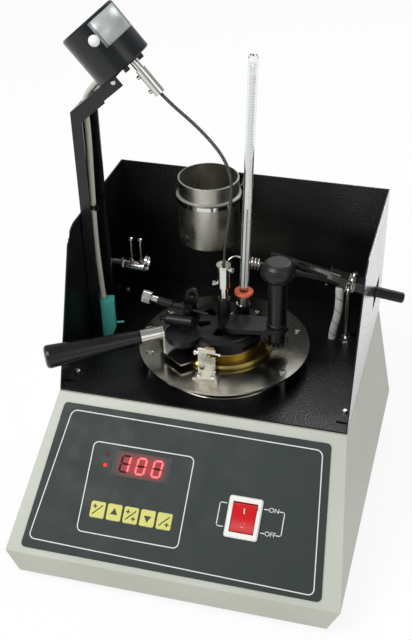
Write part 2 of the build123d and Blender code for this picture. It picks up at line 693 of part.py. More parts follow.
def test_cup():
    """The brass cup, its seating flange and the lug behind the latch."""
    cup = turned([
        (0, CUP_BOTTOM), (CUP_R - 1.5, CUP_BOTTOM), (CUP_R, CUP_BOTTOM + 1.5), (CUP_R, PLATE_TOP),
        (FLANGE_R - 1.0, PLATE_TOP), (FLANGE_R, PLATE_TOP + 1.2), (FLANGE_R, FLANGE_TOP - 1.4),
        (FLANGE_R - 1.4, FLANGE_TOP), (COLLAR_R - 0.9, FLANGE_TOP), (COLLAR_R - 0.9, CUP_RIM_Z - 1.6),
        (COLLAR_R, CUP_RIM_Z - 1.0), (COLLAR_R, CUP_RIM_Z - 0.3), (COLLAR_R - 0.4, CUP_RIM_Z),
        (CUP_BORE, CUP_RIM_Z), (CUP_BORE, CUP_RIM_Z - CUP_DEPTH), (0, CUP_RIM_Z - CUP_DEPTH),
    ], CUP_AXIS)
    lug = between(LUG_X, LUG_SPAN_Y, (FLANGE_TOP, LUG_TOP))
    lug -= rod(SCREW_HOLE_R, LATCH_SCREW_L * 2, Pos(*LATCH_SCREW) * Rot(0, 90, 0))
    pin_x, pin_z, pin_r = LATCH_PIN
    pin = rod(pin_r, LUG_SPAN_Y[0] - LATCH_Y + LATCH_T, Pos(pin_x, LUG_SPAN_Y[0], pin_z) * Rot(90, 0, 0))
    cup = cup + lug + pin
    for x, y in CUP_SCREWS:
        cup -= rod(SCREW_R, FLANGE_T * 2, handle_frame() * Pos(x, y, PLATE_TOP))
    return cup


def handle_plate():
    """The folded plate between the cup's flange and the handle, with the ferrule."""
    z = FLANGE_TOP
    outline = make_face(Polyline(
        (TAB_AT + 0.75, -TAB_HALF), (TAB_AT + 0.75, TAB_HALF), (43.7, 25.8), (29.0, 23.6),
        (18.0, 14.0), (18.0, -24.0),
        (31.0, -24.0), close=True,
    ))
    outline -= Circle(COLLAR_R + 0.3)
    plate = extrude(Pos(0, 0, z) * outline, HANDLE_SHEET)
    round_top = Pos(0, HANDLE_Z) * Circle(TAB_HALF) + Pos(0, (z + HANDLE_Z) / 2) * Rectangle(
        TAB_HALF * 2, HANDLE_Z - z
    )
    tab = extrude(Plane.YZ.offset(TAB_AT - 0.75) * round_top, HANDLE_SHEET)
    ferrule = turned([(0, -0.6), (5.4, -0.6), (5.4, 1.6), (5.9, FERRULE_L), (0, FERRULE_L)], handle_axis())
    holes = [rod(1.5, 10, Pos(x, y, z - 1)) for x, y in CUP_SCREWS]
    return handle_frame() * (plate + tab + ferrule - holes)


def handle_axis(out=0.0):
    """On the handle's axis, out from the tab's face."""
    return Pos(TAB_AT + 0.75, 0, HANDLE_Z) * Rot(0, 90 + HANDLE_DROP, 0) * Pos(0, 0, out)


def handle_grip():
    """The black grip, a long cone with a rounded end."""
    small, big = GRIP_R
    outline = [
        (0, 0), (small - 0.6, 0), (small, 0.8), (big, GRIP_L - 2.6), (big - 0.7, GRIP_L - 0.9),
        (big - 2.2, GRIP_L), (0, GRIP_L),
    ]
    return turned(outline, handle_frame() * handle_axis(FERRULE_L))


def latch_plate():
    """The angle on the heater plate, with a slot that opens to the right."""
    back = LATCH_Y + LATCH_T / 2
    foot = between(LATCH_FOOT_X, (LATCH_FOOT_Y, back), (PLATE_TOP, PLATE_TOP + LATCH_T))
    upright = between(LATCH_X, (LATCH_Y - LATCH_T / 2, back), (PLATE_TOP, LATCH_TOP))
    slot_start = LATCH_PIN[0] - LATCH_PIN[2] - 0.4
    plate = foot + upright - between((slot_start, LATCH_X[1] + 1), (LATCH_Y - 3, LATCH_Y + 3), LATCH_SLOT)
    for x, y in LATCH_FEET:
        plate -= rod(SCREW_HOLE_R, 6, Pos(x, y, PLATE_TOP - 1))
    return plate


def cup_screws():
    """Two screws through the handle plate, and the long screw through the cup's lug."""
    top = FLANGE_TOP + HANDLE_SHEET
    heads = [handle_frame() * screw(Pos(x, y, top), shank_r=1.4, shank_l=4.5) for x, y in CUP_SCREWS]
    along_x = Pos(*LATCH_SCREW) * Rot(0, 90, 0)
    ball = along_x * Pos(0, 0, 0.6) * Sphere(2.4) & along_x * Pos(0, 0, -1.5) * Box(8, 8, 5)
    return heads + [ball + rod(SCREW_R, LATCH_SCREW_L, along_x)]


# ================================================================ lid

def port(angle, height):
    """One of the ports in the lid, as a cutter standing on Z = 0."""
    return extrude(sector(*PORT_R, angle - PORT_SPAN / 2, angle + PORT_SPAN / 2), height)


def thermo_frame(z=0.0):
    """On the thermometer's axis, z above the lid."""
    return Pos(THERMO_X, THERMO_Y, LID_TOP_Z) * Rot(0, THERMO_LEAN, 0) * Pos(0, 0, z)


def lid_ring():
    """The shallow pan that closes the cup and houses the shutter."""
    top = LID_TOP_Z - LID_TOP_T
    pan = turned([
        (0, RING_Z), (LID_RING_R - 0.5, RING_Z), (LID_RING_R, RING_Z + 0.5), (LID_RING_R, top),
        (LID_RING_R - LID_RING_WALL, top), (LID_RING_R - LID_RING_WALL, RING_Z + LID_FLOOR_T),
        (0, RING_Z + LID_FLOOR_T),
    ])
    spigot = turned([
        (CUP_BORE - 2.2, RING_Z - 3.5), (CUP_BORE - 0.4, RING_Z - 3.5), (CUP_BORE - 0.4, RING_Z + 0.5),
        (CUP_BORE - 2.2, RING_Z + 0.5),
    ])
    pan += spigot
    pan -= rod(SPINDLE_R + FIT, 40, Pos(0, 0, RING_Z - 20))
    for angle in PORT_ANGLES:
        pan -= Pos(0, 0, RING_Z - 1) * port(angle, LID_FLOOR_T + 2)
    notch = extrude(sector(LID_RING_R - LID_RING_WALL - 1, LID_RING_R + 2, -48, 38), SHUTTER_T + 0.6)
    pan -= Pos(0, 0, RING_Z + LID_FLOOR_T) * notch
    pan = CUP_AXIS * pan
    return pan - rod(THERMO_R + 0.4, 60, thermo_frame(-40))


def lid_plate():
    """The black lid: its stepped top, the burner's lobe, the knob's arm and the bearings."""
    low = LID_TOP_Z - LID_TOP_T
    cover = turned([
        (0, low), (LID_RING_R, low), (LID_RING_R, low + 0.6), (LID_RING_R - 2.4, low + 1.5),
        (LID_RING_R - 3.0, LID_TOP_Z), (0, LID_TOP_Z),
    ], CUP_AXIS)
    lobe = rod(LOBE_R, 5.0, Pos(LOBE_X, LOBE_Y, LID_TOP_Z - 5.0))
    lobe -= rod(LID_RING_R + 0.2, 20, CUP_AXIS * Pos(0, 0, low - 20))
    lid = cover + lobe
    for angle in PORT_ANGLES:
        lid -= CUP_AXIS * Pos(0, 0, low - 3) * port(angle, LID_TOP_T + 10)
    # the arm runs from beside the stirrer to the knob's shaft
    root_x, root_y, root_r = ARM_ROOT
    inner = Pos(root_x, root_y) * Circle(root_r)
    outer = Pos(KNOB_X, KNOB_Y) * Circle(ARM_R)
    arm = make_hull(inner.edges() + outer.edges())
    lid += extrude(Pos(0, 0, ARM_TOP - ARM_T) * arm, ARM_T)
    lid += rod(ARM_BOSS_R, ARM_TOP - LID_TOP_Z - 1, Pos(root_x, root_y, LID_TOP_Z - 0.5))
    bearing_foot = SHUTTER_Z + SHUTTER_T + 0.4
    bearing = rod(6.6, ARM_TOP - bearing_foot, Pos(KNOB_X, KNOB_Y, bearing_foot))
    lid += bearing - rod(SHUTTER_PITCH_R + 2.2, 20, CUP_AXIS * Pos(0, 0, SHUTTER_Z - 10))
    lid -= rod(KNOB_PIN_R + FIT, 30, Pos(KNOB_X, KNOB_Y, SHUTTER_Z - 5))
    # the stirrer's bearing
    lid += rod(BOSS_R, BOSS_TOP - LID_TOP_Z, CUP_AXIS * Pos(0, 0, LID_TOP_Z))
    lid -= rod(SPINDLE_R + FIT, 60, CUP_AXIS * Pos(0, 0, low - 10))
    lid -= rod(THERMO_R + 0.4, 60, thermo_frame(-30))
    for x, y in lid_screw_places():
        lid -= rod(1.3, 10, Pos(x, y, LID_TOP_Z - 2.6))
    return lid


def shutter():
    """The toothed fan under the lid that uncovers the ports."""
    fan = Circle(9.0) + sector(5.0, 25.5, 100, 348)
    fan += sector(5.0, 30.0, *WEB_SPAN)
    fan += toothed(SHUTTER_PITCH_R, SHUTTER_TEETH) & sector(25.0, 60.0, *RIM_SPAN)
    fan += sector(25.0, SHUTTER_PITCH_R - 1.6, *RIM_SPAN)
    fan -= Circle(SPINDLE_R + 0.3)
    for angle in PORT_ANGLES:
        low = angle + SHUTTER_TURN - PORT_SPAN / 2
        fan -= sector(PORT_R[0] + 0.3, PORT_R[1] - 0.3, low + 1, low + PORT_SPAN - 1)
    return CUP_AXIS * extrude(Pos(0, 0, SHUTTER_Z) * fan, SHUTTER_T)


def toothed(pitch_r, teeth, turned_by=0.0):
    """A flat spur gear with straight-sided teeth."""
    root, tip = pitch_r - 1.15 * GEAR_MODULE, pitch_r + 0.85 * GEAR_MODULE
    width = pi * GEAR_MODULE / 2 - GEAR_PLAY
    flank = 0.36
    gear = Circle(root)
    tooth = make_face(Polyline(
        (root - 0.6, -width / 2 - flank * (pitch_r - root)), (tip, -width / 2 + flank * (tip - pitch_r)),
        (tip, width / 2 - flank * (tip - pitch_r)), (root - 0.6, width / 2 + flank * (pitch_r - root)),
        close=True,
    ))
    step = 360 / teeth
    return gear + [Rot(0, 0, turned_by + i * step) * tooth for i in range(teeth)]


def knob_spindle():
    """The knob's shaft: column above the arm, pin through it and the pinion below."""
    facing = KNOB_BEARING + 180
    tooth_step = 360 / SHUTTER_TEETH
    phase = (KNOB_BEARING / tooth_step) % 1.0
    shift = facing + (0.5 + phase) * 360 / PINION_TEETH
    pinion = extrude(toothed(PINION_PITCH_R, PINION_TEETH, shift), SHUTTER_T)
    place = Pos(KNOB_X, KNOB_Y, 0)
    shaft = rod(KNOB_PIN_R, ARM_TOP - SHUTTER_Z + 1, Pos(0, 0, SHUTTER_Z))
    column = turned([
        (0, ARM_TOP + 0.3), (KNOB_SHAFT_R + 0.8, ARM_TOP + 0.3), (KNOB_SHAFT_R + 0.8, ARM_TOP + 1.8),
        (KNOB_SHAFT_R, ARM_TOP + 2.4), (KNOB_SHAFT_R, KNOB_BOTTOM), (0, KNOB_BOTTOM),
    ])
    return place * (Pos(0, 0, SHUTTER_Z) * pinion + shaft + column)


def shutter_knob():
    """The smooth round knob on top of the shaft."""
    top = KNOB_PROFILE[-1][1]
    return turned([(0, 0), *KNOB_PROFILE, (0, top)], Pos(KNOB_X, KNOB_Y, KNOB_BOTTOM))


def stirrer():
    """The spindle, its two propellers and the bright sleeve that grips the drive."""
    top = BOSS_TOP + 0.3
    spindle = rod(SPINDLE_R, top - STIR_LOW_Z + 2, Pos(0, 0, STIR_LOW_Z - 2))
    sleeve = turned([
        (0, top), (NECK_R, top), (NECK_R, top + SLEEVE_START), (SLEEVE_R, top + SLEEVE_START),
        (SLEEVE_R, SLEEVE_TOP - 2.2), (SLEEVE_R + 0.6, SLEEVE_TOP - 1.6), (SLEEVE_R + 0.6, SLEEVE_TOP),
        (FLEX_R + 0.4, SLEEVE_TOP), (FLEX_R + 0.4, SLEEVE_TOP - 12),
        (0, SLEEVE_TOP - 12),
    ])
    body = spindle + sleeve
    for z, reach, bearing in ((STIR_LOW_Z, 20.0, 40), (STIR_HIGH_Z, 9.5, 0)):
        body += rod(4.2, 5.0, Pos(0, 0, z - 2.5))
        for half in (0, 180):
            blade = Pos(reach / 2 + 1.5, 0, z) * Rot(38, 0, 0) * Box(reach - 3, 7.0, 1.0)
            body += Rot(0, 0, bearing + half) * blade
    for z, angle in CLAMP_SCREWS:
        start = Rot(0, 0, angle) * Pos(SLEEVE_R - 1.0, 0, z) * Rot(0, 90, 0)
        body += turned([(0, 0), (1.3, 0), (1.3, 2.4), (2.1, 2.4), (2.1, 4.6), (0, 4.6)], start)
    return CUP_AXIS * body


def thermometer_socket():
    """The black socket, with its screwed foot, and the bright ferrule in it."""
    body = turned([
        (THERMO_R + 0.4, 2.2), (SOCKET_R + 0.9, 2.2), (SOCKET_R, 3.2), (SOCKET_R, SOCKET_H),
        (FERRULE_R, SOCKET_H), (FERRULE_R, SOCKET_H + FERRULE_H), (THERMO_R + 0.4, SOCKET_H + FERRULE_H),
    ], thermo_frame())
    foot = make_hull(
        [e for x, y in socket_feet() for e in (Pos(x, y) * Circle(2.7)).edges()]
        + (Pos(THERMO_X, THERMO_Y) * Circle(SOCKET_R + 1.4)).edges()
    )
    foot = extrude(Pos(0, 0, LID_TOP_Z) * foot, 2.4)
    foot -= rod(THERMO_R + 0.4, 30, thermo_frame(-10))
    for x, y in socket_feet():
        foot -= rod(1.3, 10, Pos(x, y, LID_TOP_Z - 2))
    return body + foot


def socket_feet():
    """The two screws of the thermometer socket's foot."""
    return [(THERMO_X - 7.8, THERMO_Y - 3.4), (THERMO_X + 10.6, THERMO_Y + 4.2)]


def lid_screw_places():
    return socket_feet()


def lid_screws():
    return [
        screw(Pos(x, y, LID_TOP_Z + 2.4), head_r=1.9, head_h=1.3, shank_r=1.2, shank_l=4.6)
        for x, y in lid_screw_places()
    ]


def thermometer():
    """Glass stem with a round top and a thinner bulb."""
    low, top = -THERMO_LOW, THERMO_TOP
    return turned([
        (0, low), (1.6, low + 0.6), (2.4, low + 2.0), (2.4, low + 9.0), (THERMO_R, low + 12.0),
        (THERMO_R, top - 2.6), (THERMO_R * 0.75, top - 0.8), (0, top),
    ], thermo_frame())


def thermometer_ring():
    """The rubber ring that grips the stem and rests on the ferrule."""
    low = SOCKET_H + FERRULE_H
    return turned([
        (THERMO_R, low), (RING_R - 0.6, low), (RING_R, low + 0.6), (RING_R, low + 2.0),
        (RING_R - 0.6, low + 2.6), (THERMO_R, low + 2.6),
    ], thermo_frame())


# ================================================================ pilot burner

def burner_frame():
    """On the burner's pivot: X along the tube to the jet."""
    return Pos(PIVOT_X, BURNER_Y, PIVOT_Z) * Rot(0, BURNER_TILT, 0)


def burner_tube():
    """The black tube with its trunnion, and the thin jet."""
    to_jet = burner_frame() * Rot(0, 90, 0)
    tube = turned([
        (0, -TUBE_L), (TUBE_R, -TUBE_L), (TUBE_R, -13.0), (TUBE_R - 0.9, -12.0), (TUBE_R - 0.9, 3.5),
        (NOZZLE_R, 4.5), (NOZZLE_R, JET_L - 1.2), (NOZZLE_R - 0.5, JET_L), (0, JET_L),
    ], to_jet)
    trunnion = burner_frame() * Box(6.4, 5.6, 6.4)
    tube = tube + trunnion
    return tube - rod(PIN_R + FIT, 40, Pos(PIVOT_X, BURNER_Y - 20, PIVOT_Z) * Rot(-90, 0, 0))


def burner_valve():
    """The bright knurled needle valve at the burner's tail."""
    start = burner_frame() * Pos(-TUBE_L, 0, 0) * Rot(0, -90, 0)
    stem = turned([(0, 0), (2.6, 0), (2.6, 4.8), (1.7, 5.4), (1.7, 6.0), (0, 6.0)])
    knob = Pos(0, 0, 5.6) * extrude(Circle(VALVE_R), VALVE_L)
    knob -= [Rot(0, 0, i * 20) * rod(0.6, VALVE_L + 2, Pos(VALVE_R + 0.2, 0, 5)) for i in range(18)]
    return start * Pos(0, 0, 0.3) * (stem + knob)


def burner_lug():
    """The upright plate with an eye, its foot on the lid, and the burner's pivot pin."""
    eye = Pos(EYE[0], EYE[1]) * Circle(5.4)
    foot = Pos(PIVOT_X + 1.0, LID_TOP_Z + 1.5) * Rectangle(13.0, 3.0)
    middle = Pos(PIVOT_X, PIVOT_Z) * Circle(5.0)
    outline = make_hull(eye.edges() + middle.edges()) + make_hull(middle.edges() + foot.edges())
    outline -= Pos(EYE[0], EYE[1]) * Circle(2.6)
    plate = extrude(Plane.XZ.offset(-LUG_Y - LUG_T / 2) * outline, LUG_T)
    base = between((PIVOT_X - 5, PIVOT_X + 7), (LUG_Y - 1.2, LUG_Y + 6), (LID_TOP_Z, LID_TOP_Z + 2.4))
    pin = rod(PIN_R, LUG_Y - BURNER_Y + 4.0, Pos(PIVOT_X, BURNER_Y - 4.0, PIVOT_Z) * Rot(-90, 0, 0))
    head = rod(2.6, 1.2, Pos(PIVOT_X, BURNER_Y - 4.4, PIVOT_Z) * Rot(-90, 0, 0))
    return plate + base + pin + head


def gas_chamber():
    """The lying cylinder on the lid's lobe, with its brass nipple."""
    z = LID_TOP_Z + CHAMBER_R + 0.3
    start = Pos(CHAMBER_X[0], CHAMBER_Y, z) * Rot(0, 90, 0)
    length = CHAMBER_X[1] - CHAMBER_X[0]
    body = turned([
        (0, 0), (CHAMBER_R - 1.0, 0), (CHAMBER_R, 1.0), (CHAMBER_R, length - 0.8), (CHAMBER_R - 0.8, length),
        (0, length),
    ], start)
    body += between((-30, CHAMBER_X[1] - 1), (CHAMBER_Y - 3.4, CHAMBER_Y + 3.4), (LID_TOP_Z, z))
    nipple = turned([(0, -5.4), (1.4, -5.2), (2.2, -3.6), (1.3, -2.2), (1.3, 0), (0, 0)], start)
    return [body, nipple]


# ================================================================ stirrer drive

def column():
    """A sheet channel, open to the right, whose top is turned up into the motor's arm."""
    y0, y1 = COLUMN_Y
    post = between((COLUMN_X, COLUMN_X + COLUMN_FLANGE), (y0, y1), (0, COLUMN_TOP + 30))
    post -= between(
        (COLUMN_X + COLUMN_SHEET, COLUMN_X + 50), (y0 + COLUMN_SHEET, y1 - COLUMN_SHEET),
        (-1, COLUMN_TOP + 60),
    )
    post -= between(
        (COLUMN_X + FRONT_FLANGE, COLUMN_X + 50), (y0 - 1, y0 + COLUMN_SHEET + 1), (-1, COLUMN_TOP + 60)
    )
    above = along(MOTOR_PLANE, 0, 0, -60) * Box(400, 100, 120)
    post -= above
    arm = along(MOTOR_PLANE, ARM_L / 2 - 4, 0, ARM_DEPTH / 2) * Box(ARM_L + 8, y1 - y0, ARM_DEPTH)
    arm -= along(MOTOR_PLANE, ARM_L / 2 + 8, 0, ARM_DEPTH / 2 + COLUMN_SHEET) * Box(
        ARM_L + 40, y1 - y0 - 2 * COLUMN_SHEET, ARM_DEPTH
    )
    arm -= between((COLUMN_X - 60, COLUMN_X), (0, 200), (0, 400))
    bracket = along(MOTOR_PLANE, BRACKET_L / 2 + 6, 0, COLUMN_SHEET / 2) * Box(
        BRACKET_L - 12, y1 - y0, COLUMN_SHEET
    )
    lip_at = along(MOTOR_PLANE, BRACKET_L / 2 + 8, y_side(y0), LIP_H / 2)
    lip = lip_at * Box(BRACKET_L - 16, COLUMN_SHEET, LIP_H)
    foot = between((COLUMN_X, COLUMN_X + COLUMN_FLANGE), (y1 - COLUMN_SHEET, y1 + 12), (0, COLUMN_SHEET))
    foot -= rod(SCREW_HOLE_R, 6, Pos(*column_screw(), -1))
    frame = post + arm + bracket + lip + foot - rod(LIP_SCREW_R + 0.1, 8, on_lip(-4))
    lead_x, lead_y, _ = lead_route()[1]
    left, right, low, high = LEAD_HOLE
    frame -= between((COLUMN_X + left, lead_x + right), (lead_y - 5.0, lead_y + 3.0), (low, high))
    return frame


def column_screw():
    return COLUMN_X + COLUMN_FLANGE / 2, COLUMN_Y[1] + 6.5


def on_lip(out=0.0):
    """On the front of the bracket's lip, where its screw goes in."""
    y = MOTOR_Y - COLUMN_Y[0]
    return along(MOTOR_PLANE, BRACKET_SCREW_AT, y, 3.0) * Rot(-90, 0, 0) * Pos(0, 0, out)


def y_side(y0):
    """The front sheet's middle, seen from the motor's middle plane."""
    front = y0 + COLUMN_SHEET / 2 - MOTOR_Y
    return front if MOTOR_PLANE.y_dir.Y > 0 else -front


def motor():
    """A flat round geared motor with an off-centre shaft and four cover screws."""
    base = along(MOTOR_PLANE, MOTOR_AT, 0, 0)
    can = turned([
        (0, 0), (MOTOR_R - 0.6, 0), (MOTOR_R, -0.6), (MOTOR_R, -MOTOR_L + 1.2), (MOTOR_R - 1.2, -MOTOR_L),
        (0, -MOTOR_L),
    ], base)
    low, high = -MOTOR_SEAM - 0.7, -MOTOR_SEAM
    seam = [(MOTOR_R - 0.4, high), (MOTOR_R + 1, high), (MOTOR_R + 1, low), (MOTOR_R - 0.4, low)]
    can -= turned(seam, base)
    can += rod(6.0, 1.4, base * Pos(SHAFT_OFFSET, 0, -0.2))
    for angle in MOTOR_POSTS:
        can += rod(2.2, 3.4, base * Rot(0, 0, angle) * Pos(POST_AT, 0, 0))
    return can - rod(SHAFT_R + FIT, 12, base * Pos(SHAFT_OFFSET, 0, -8))


def motor_coupling():
    """The output shaft and the sleeve that joins it to the flexible shaft."""
    base = along(MOTOR_PLANE, MOTOR_AT + SHAFT_OFFSET, 0, 0)
    start, end = COUPLING_SPAN
    shaft = turned([(0, -6), (SHAFT_R, -6), (SHAFT_R, start + 6), (0, start + 6)], base)
    sleeve = turned([
        (SHAFT_R - 0.5, start), (COUPLING_R, start), (COUPLING_R, end), (FLEX_R + 0.4, end),
        (FLEX_R + 0.4, end - 10), (SHAFT_R - 0.5, end - 10),
    ], base)
    body = shaft + sleeve
    for z in (start + 4, end - 5):
        body += rod(1.4, 3.6, base * Rot(0, 0, 180) * Pos(COUPLING_R - 1.4, 0, z) * Rot(0, 90, 0))
    return body


def flex_points():
    """The flexible shaft's route, chosen by hand from the coupling to the stirrer."""
    base = along(MOTOR_PLANE, MOTOR_AT + SHAFT_OFFSET, 0, COUPLING_SPAN[1] - 8)
    start = base.position
    out = (base * Pos(0, 0, 13)).position
    return [
        (start.X, start.Y, start.Z), (out.X, out.Y, out.Z), *FLEX_ROUTE,
        (CUP_X, CUP_Y, SLEEVE_TOP + 6), (CUP_X, CUP_Y, SLEEVE_TOP - 10.5),
    ]


def flexible_shaft():
    return corded(flex_points(), FLEX_R, "flexible shaft")


def lead_route():
    return [(COLUMN_X + x, y, z) for x, y, z in LEAD_ROUTE]


def motor_lead():
    return corded(lead_route(), LEAD_R, "motor lead")


def lead_block():
    """The teal connector at the column's foot, with its bright pin."""
    place = Pos(COLUMN_X + BLOCK_AT[0], BLOCK_AT[1], 0) * Rot(0, 0, BLOCK_TURN)
    side = BLOCK_W / 2
    outline = make_face(Polyline(
        (-side, 0), (side * 0.4, 0), (side, BLOCK_H * 0.24), (side, BLOCK_H), (-side, BLOCK_H), close=True
    ))
    block = extrude(Plane.XZ * outline, BLOCK_T / 2, both=True)
    block = fillet(block.edges().filter_by(Axis.Z), 1.2)
    pin = turned([(0, 0), (1.0, 0), (1.0, 6.5), (0, 6.5)], Pos(side, -1.0, BLOCK_H * 0.32) * Rot(0, 90, 0))
    head = rod(1.9, 1.2, Pos(2.5, -BLOCK_T / 2 - 1.2, BLOCK_H * 0.3) * Rot(-90, 0, 0))
    lead_x, lead_y, lead_z = lead_route()[-1]
    block = place * block - rod(LEAD_R + 0.3, BLOCK_H, Pos(lead_x, lead_y, lead_z - 0.3))
    return [block, place * pin, place * head]


def lead_tie():
    """The cable tie round the lead, half way up the column."""
    low, high = Vector(*lead_route()[4]), Vector(*lead_route()[3])
    middle = low + (high - low) * TIE_AT
    place = Plane(origin=middle, x_dir=(1, 0, 0), z_dir=high - low).location
    ring = rod(LEAD_R + 1.2, TIE_W, place) - rod(LEAD_R + 0.15, TIE_W, place)
    return ring + place * Pos(LEAD_R + 1.8, -1.4, TIE_W / 2) * Box(3.0, 3.4, TIE_W * 1.4)


# ================================================================ gas taps

def gas_manifold():
    """The tube from the left wall with its two tap bodies, and the spring ring at its end."""
    wall = HOOD_T - DECK_W / 2
    start = Pos(wall, TAP_Y, TAP_Z) * Rot(0, 90, 0)
    tube = turned([
        (0, 0), (TAP_R + 2.5, 0), (TAP_R + 2.5, 1.6), (TAP_R, 1.6), (TAP_R, 14.0), (TAP_R + 2.2, 14.2),
        (TAP_R + 2.2, 15.4), (TAP_R, 15.6), (TAP_R, 33.0), (TAP_R - 1.2, 34.4), (TAP_R - 1.2, TAP_L),
        (0, TAP_L),
    ], start)
    for x in TAP_X:
        tube += rod(2.6, TAP_R + 1.2, Pos(x, TAP_Y, TAP_Z))
        tube -= rod(TAP_STEM_R + FIT, 8, Pos(x, TAP_Y, TAP_Z + TAP_R - 2.4))
    end = HOOD_T - DECK_W / 2 + TAP_L
    ring = turned([(CLIP_R - 1.6, -1.0), (CLIP_R, -1.0), (CLIP_R, 1.0), (CLIP_R - 1.6, 1.0)])
    ring -= between((-9, -2.6), (-1.0, 1.0), (-2, 2))
    return tube + Pos(end - 1.6, TAP_Y, TAP_Z + CLIP_R + 0.8) * Rot(0, 90, 0) * ring


def gas_tap(x):
    """A thin tap spindle with a ball end."""
    z = TAP_Z + TAP_R - 2.0
    return turned([
        (0, 0), (TAP_STEM_R, 0), (TAP_STEM_R, 20.0), (1.7, 21.0), (2.1, 22.4), (1.6, 24.0), (0, 24.6),
    ], Pos(x, TAP_Y, z))


# ================================================================ spare cup

def steel_cup():
    """The plain steel cup that hangs in the hoop."""
    low, top = SPARE_Z
    bead = HOOP_Z + HOOP_H
    return turned([
        (0, low), (SPARE_R - 1.8, low), (SPARE_R, low + 1.8), (SPARE_R, bead), (SPARE_R + 1.5, bead + 0.2),
        (SPARE_R + 1.7, bead + 1.2), (SPARE_R, bead + 2.4), (SPARE_R, top - 0.4), (SPARE_R - 0.5, top),
        (SPARE_R - SPARE_WALL, top), (SPARE_R - SPARE_WALL, low + 2.2), (SPARE_R - 3, low + SPARE_WALL),
        (0, low + SPARE_WALL),
    ], Pos(SPARE_X, SPARE_Y, 0))


def hoop_ear_places():
    for side in (-1, 1):
        yield SPARE_X + side * (SPARE_R - 3.5)


def hoop_screw_places():
    for x in hoop_ear_places():
        yield x + (-1 if x < SPARE_X else 1) * HOOP_EAR[0] * 0.55


def cup_hoop():
    """The strap that holds the spare cup, with two ears on the back wall."""
    inner = SPARE_R + HOOP_GAP
    wall = DECK_D - HOOD_T
    ring = turned([
        (inner, HOOP_Z), (inner + HOOP_T, HOOP_Z), (inner + HOOP_T, HOOP_Z + HOOP_H),
        (inner, HOOP_Z + HOOP_H),
    ], Pos(SPARE_X, SPARE_Y, 0))
    for x in hoop_ear_places():
        strut = between((x - 0.7, x + 0.7), (SPARE_Y + 12, wall), (HOOP_Z, HOOP_Z + HOOP_H))
        strut -= rod(inner, 20, Pos(SPARE_X, SPARE_Y, HOOP_Z - 5))
        out = -1 if x < SPARE_X else 1
        ear_x = sorted((x, x + out * HOOP_EAR[0]))
        ear = between(ear_x, (wall - HOOP_T, wall), (HOOP_Z - 1.5, HOOP_Z - 1.5 + HOOP_EAR[1]))
        ring += strut + ear
    for x in hoop_screw_places():
        ring -= rod(SCREW_HOLE_R, HOOP_T * 4, Pos(x, wall + HOOP_T, HOOP_SCREW_Z) * Rot(90, 0, 0))
    return ring


# ================================================================ electric lighter

def lever_frame(distance=0.0):
    """On the lever: X runs along it to the coil, starting level with the rod."""
    lean = Rot(0, 0, 180 + LEVER_YAW) * Rot(0, -LEVER_TILT, 0)
    return Pos(POST_X, LEVER_Y, LEVER_Z) * lean * Pos(distance, 0, 0)


def bracket_frame():
    """The lighter's bracket shares the lever's tilt but stays square to the hood."""
    return Pos(POST_X, LEVER_Y, LEVER_Z) * Rot(0, 0, 180) * Rot(0, -LEVER_TILT, 0)


def igniter_post():
    """The threaded rod with its nut and washer on the deck."""
    base = Pos(POST_X, POST_Y, 0)
    post = rod(ROD_R, POST_TOP + 8, base * Pos(0, 0, -8))
    nuts = hexagon(7.0, 3.4, base * Pos(0, 0, 0.8)) + hexagon(7.0, 3.2, base * Pos(0, 0, -4.9))
    return post + nuts + rod(4.6, 0.8, base)


def igniter_bracket():
    """The bright folded channel that turns on the rod, its tapered guard and its bolt."""
    front, back = LEVER_Y - BRACKET_Y[0], LEVER_Y - BRACKET_Y[1]
    left, right = BRACKET_X
    low, top = BRACKET_Z
    t = BRACKET_SHEET
    channel = between((left, right), (back, front), (low, top))
    channel -= between((left - 1, right + 1), (back + t, front - t), (low - 1, top - t))
    channel -= between((left - 1, right + 1), (front - t, front + 1), (low - 1, BRACKET_FRONT_Z))
    end = between((right, right + t), (back, front), (low + 0.8, BRACKET_EAR_Z))
    lug_y, lug_r, lug_t = LEVER_Y - POST_Y, ROD_R * 1.8, t * 2
    lug = between((-lug_r, lug_r), (front - t, lug_y), (BRACKET_FRONT_Z, BRACKET_FRONT_Z + lug_t))
    lug += rod(lug_r, lug_t, Pos(0, lug_y, BRACKET_FRONT_Z))
    guard = extrude(Plane.XZ * make_face(Polyline(*GUARD, close=True)), -GUARD_T)
    ridge = between((GUARD[0][0], GUARD[1][0]), (-GUARD_T * 1.1, GUARD_T), (top - 0.6, top + 0.6))
    body = bracket_frame() * (channel + end + lug + guard + ridge)
    body -= rod(ROD_R + FIT, 80, Pos(POST_X, POST_Y, 0))
    body -= rod(LEVER_R + 0.3, 200, lever_frame(-60) * Rot(0, 90, 0))
    bolt = bracket_frame() * Pos(-0.6, -1.0, top - 0.5)
    nut = hexagon(6.4, 4.6, bolt) + rod(1.8, 6.6, bolt) + rod(3.6, 1.2, bolt)
    return body + nut


def igniter_lever():
    """The black lever tube, with its grip outside the hood."""
    far, near = HANDLE_SPAN
    return turned([
        (0, far), (HANDLE_R - 1.0, far), (HANDLE_R, far + 1.0), (HANDLE_R, near), (LEVER_R, near + 1.0),
        (LEVER_R, COIL_AT - 12.0), (LEVER_R + 0.9, COIL_AT - 11.0), (LEVER_R + 0.9, COIL_AT - 4.6),
        (0, COIL_AT - 4.6),
    ], lever_frame() * Rot(0, 90, 0)) - lever_frame() * rod(
        WIRE_R + 0.1, 9, Pos(COIL_AT - 8.2, -1.0, 0) * Rot(0, 90, 0)
    )


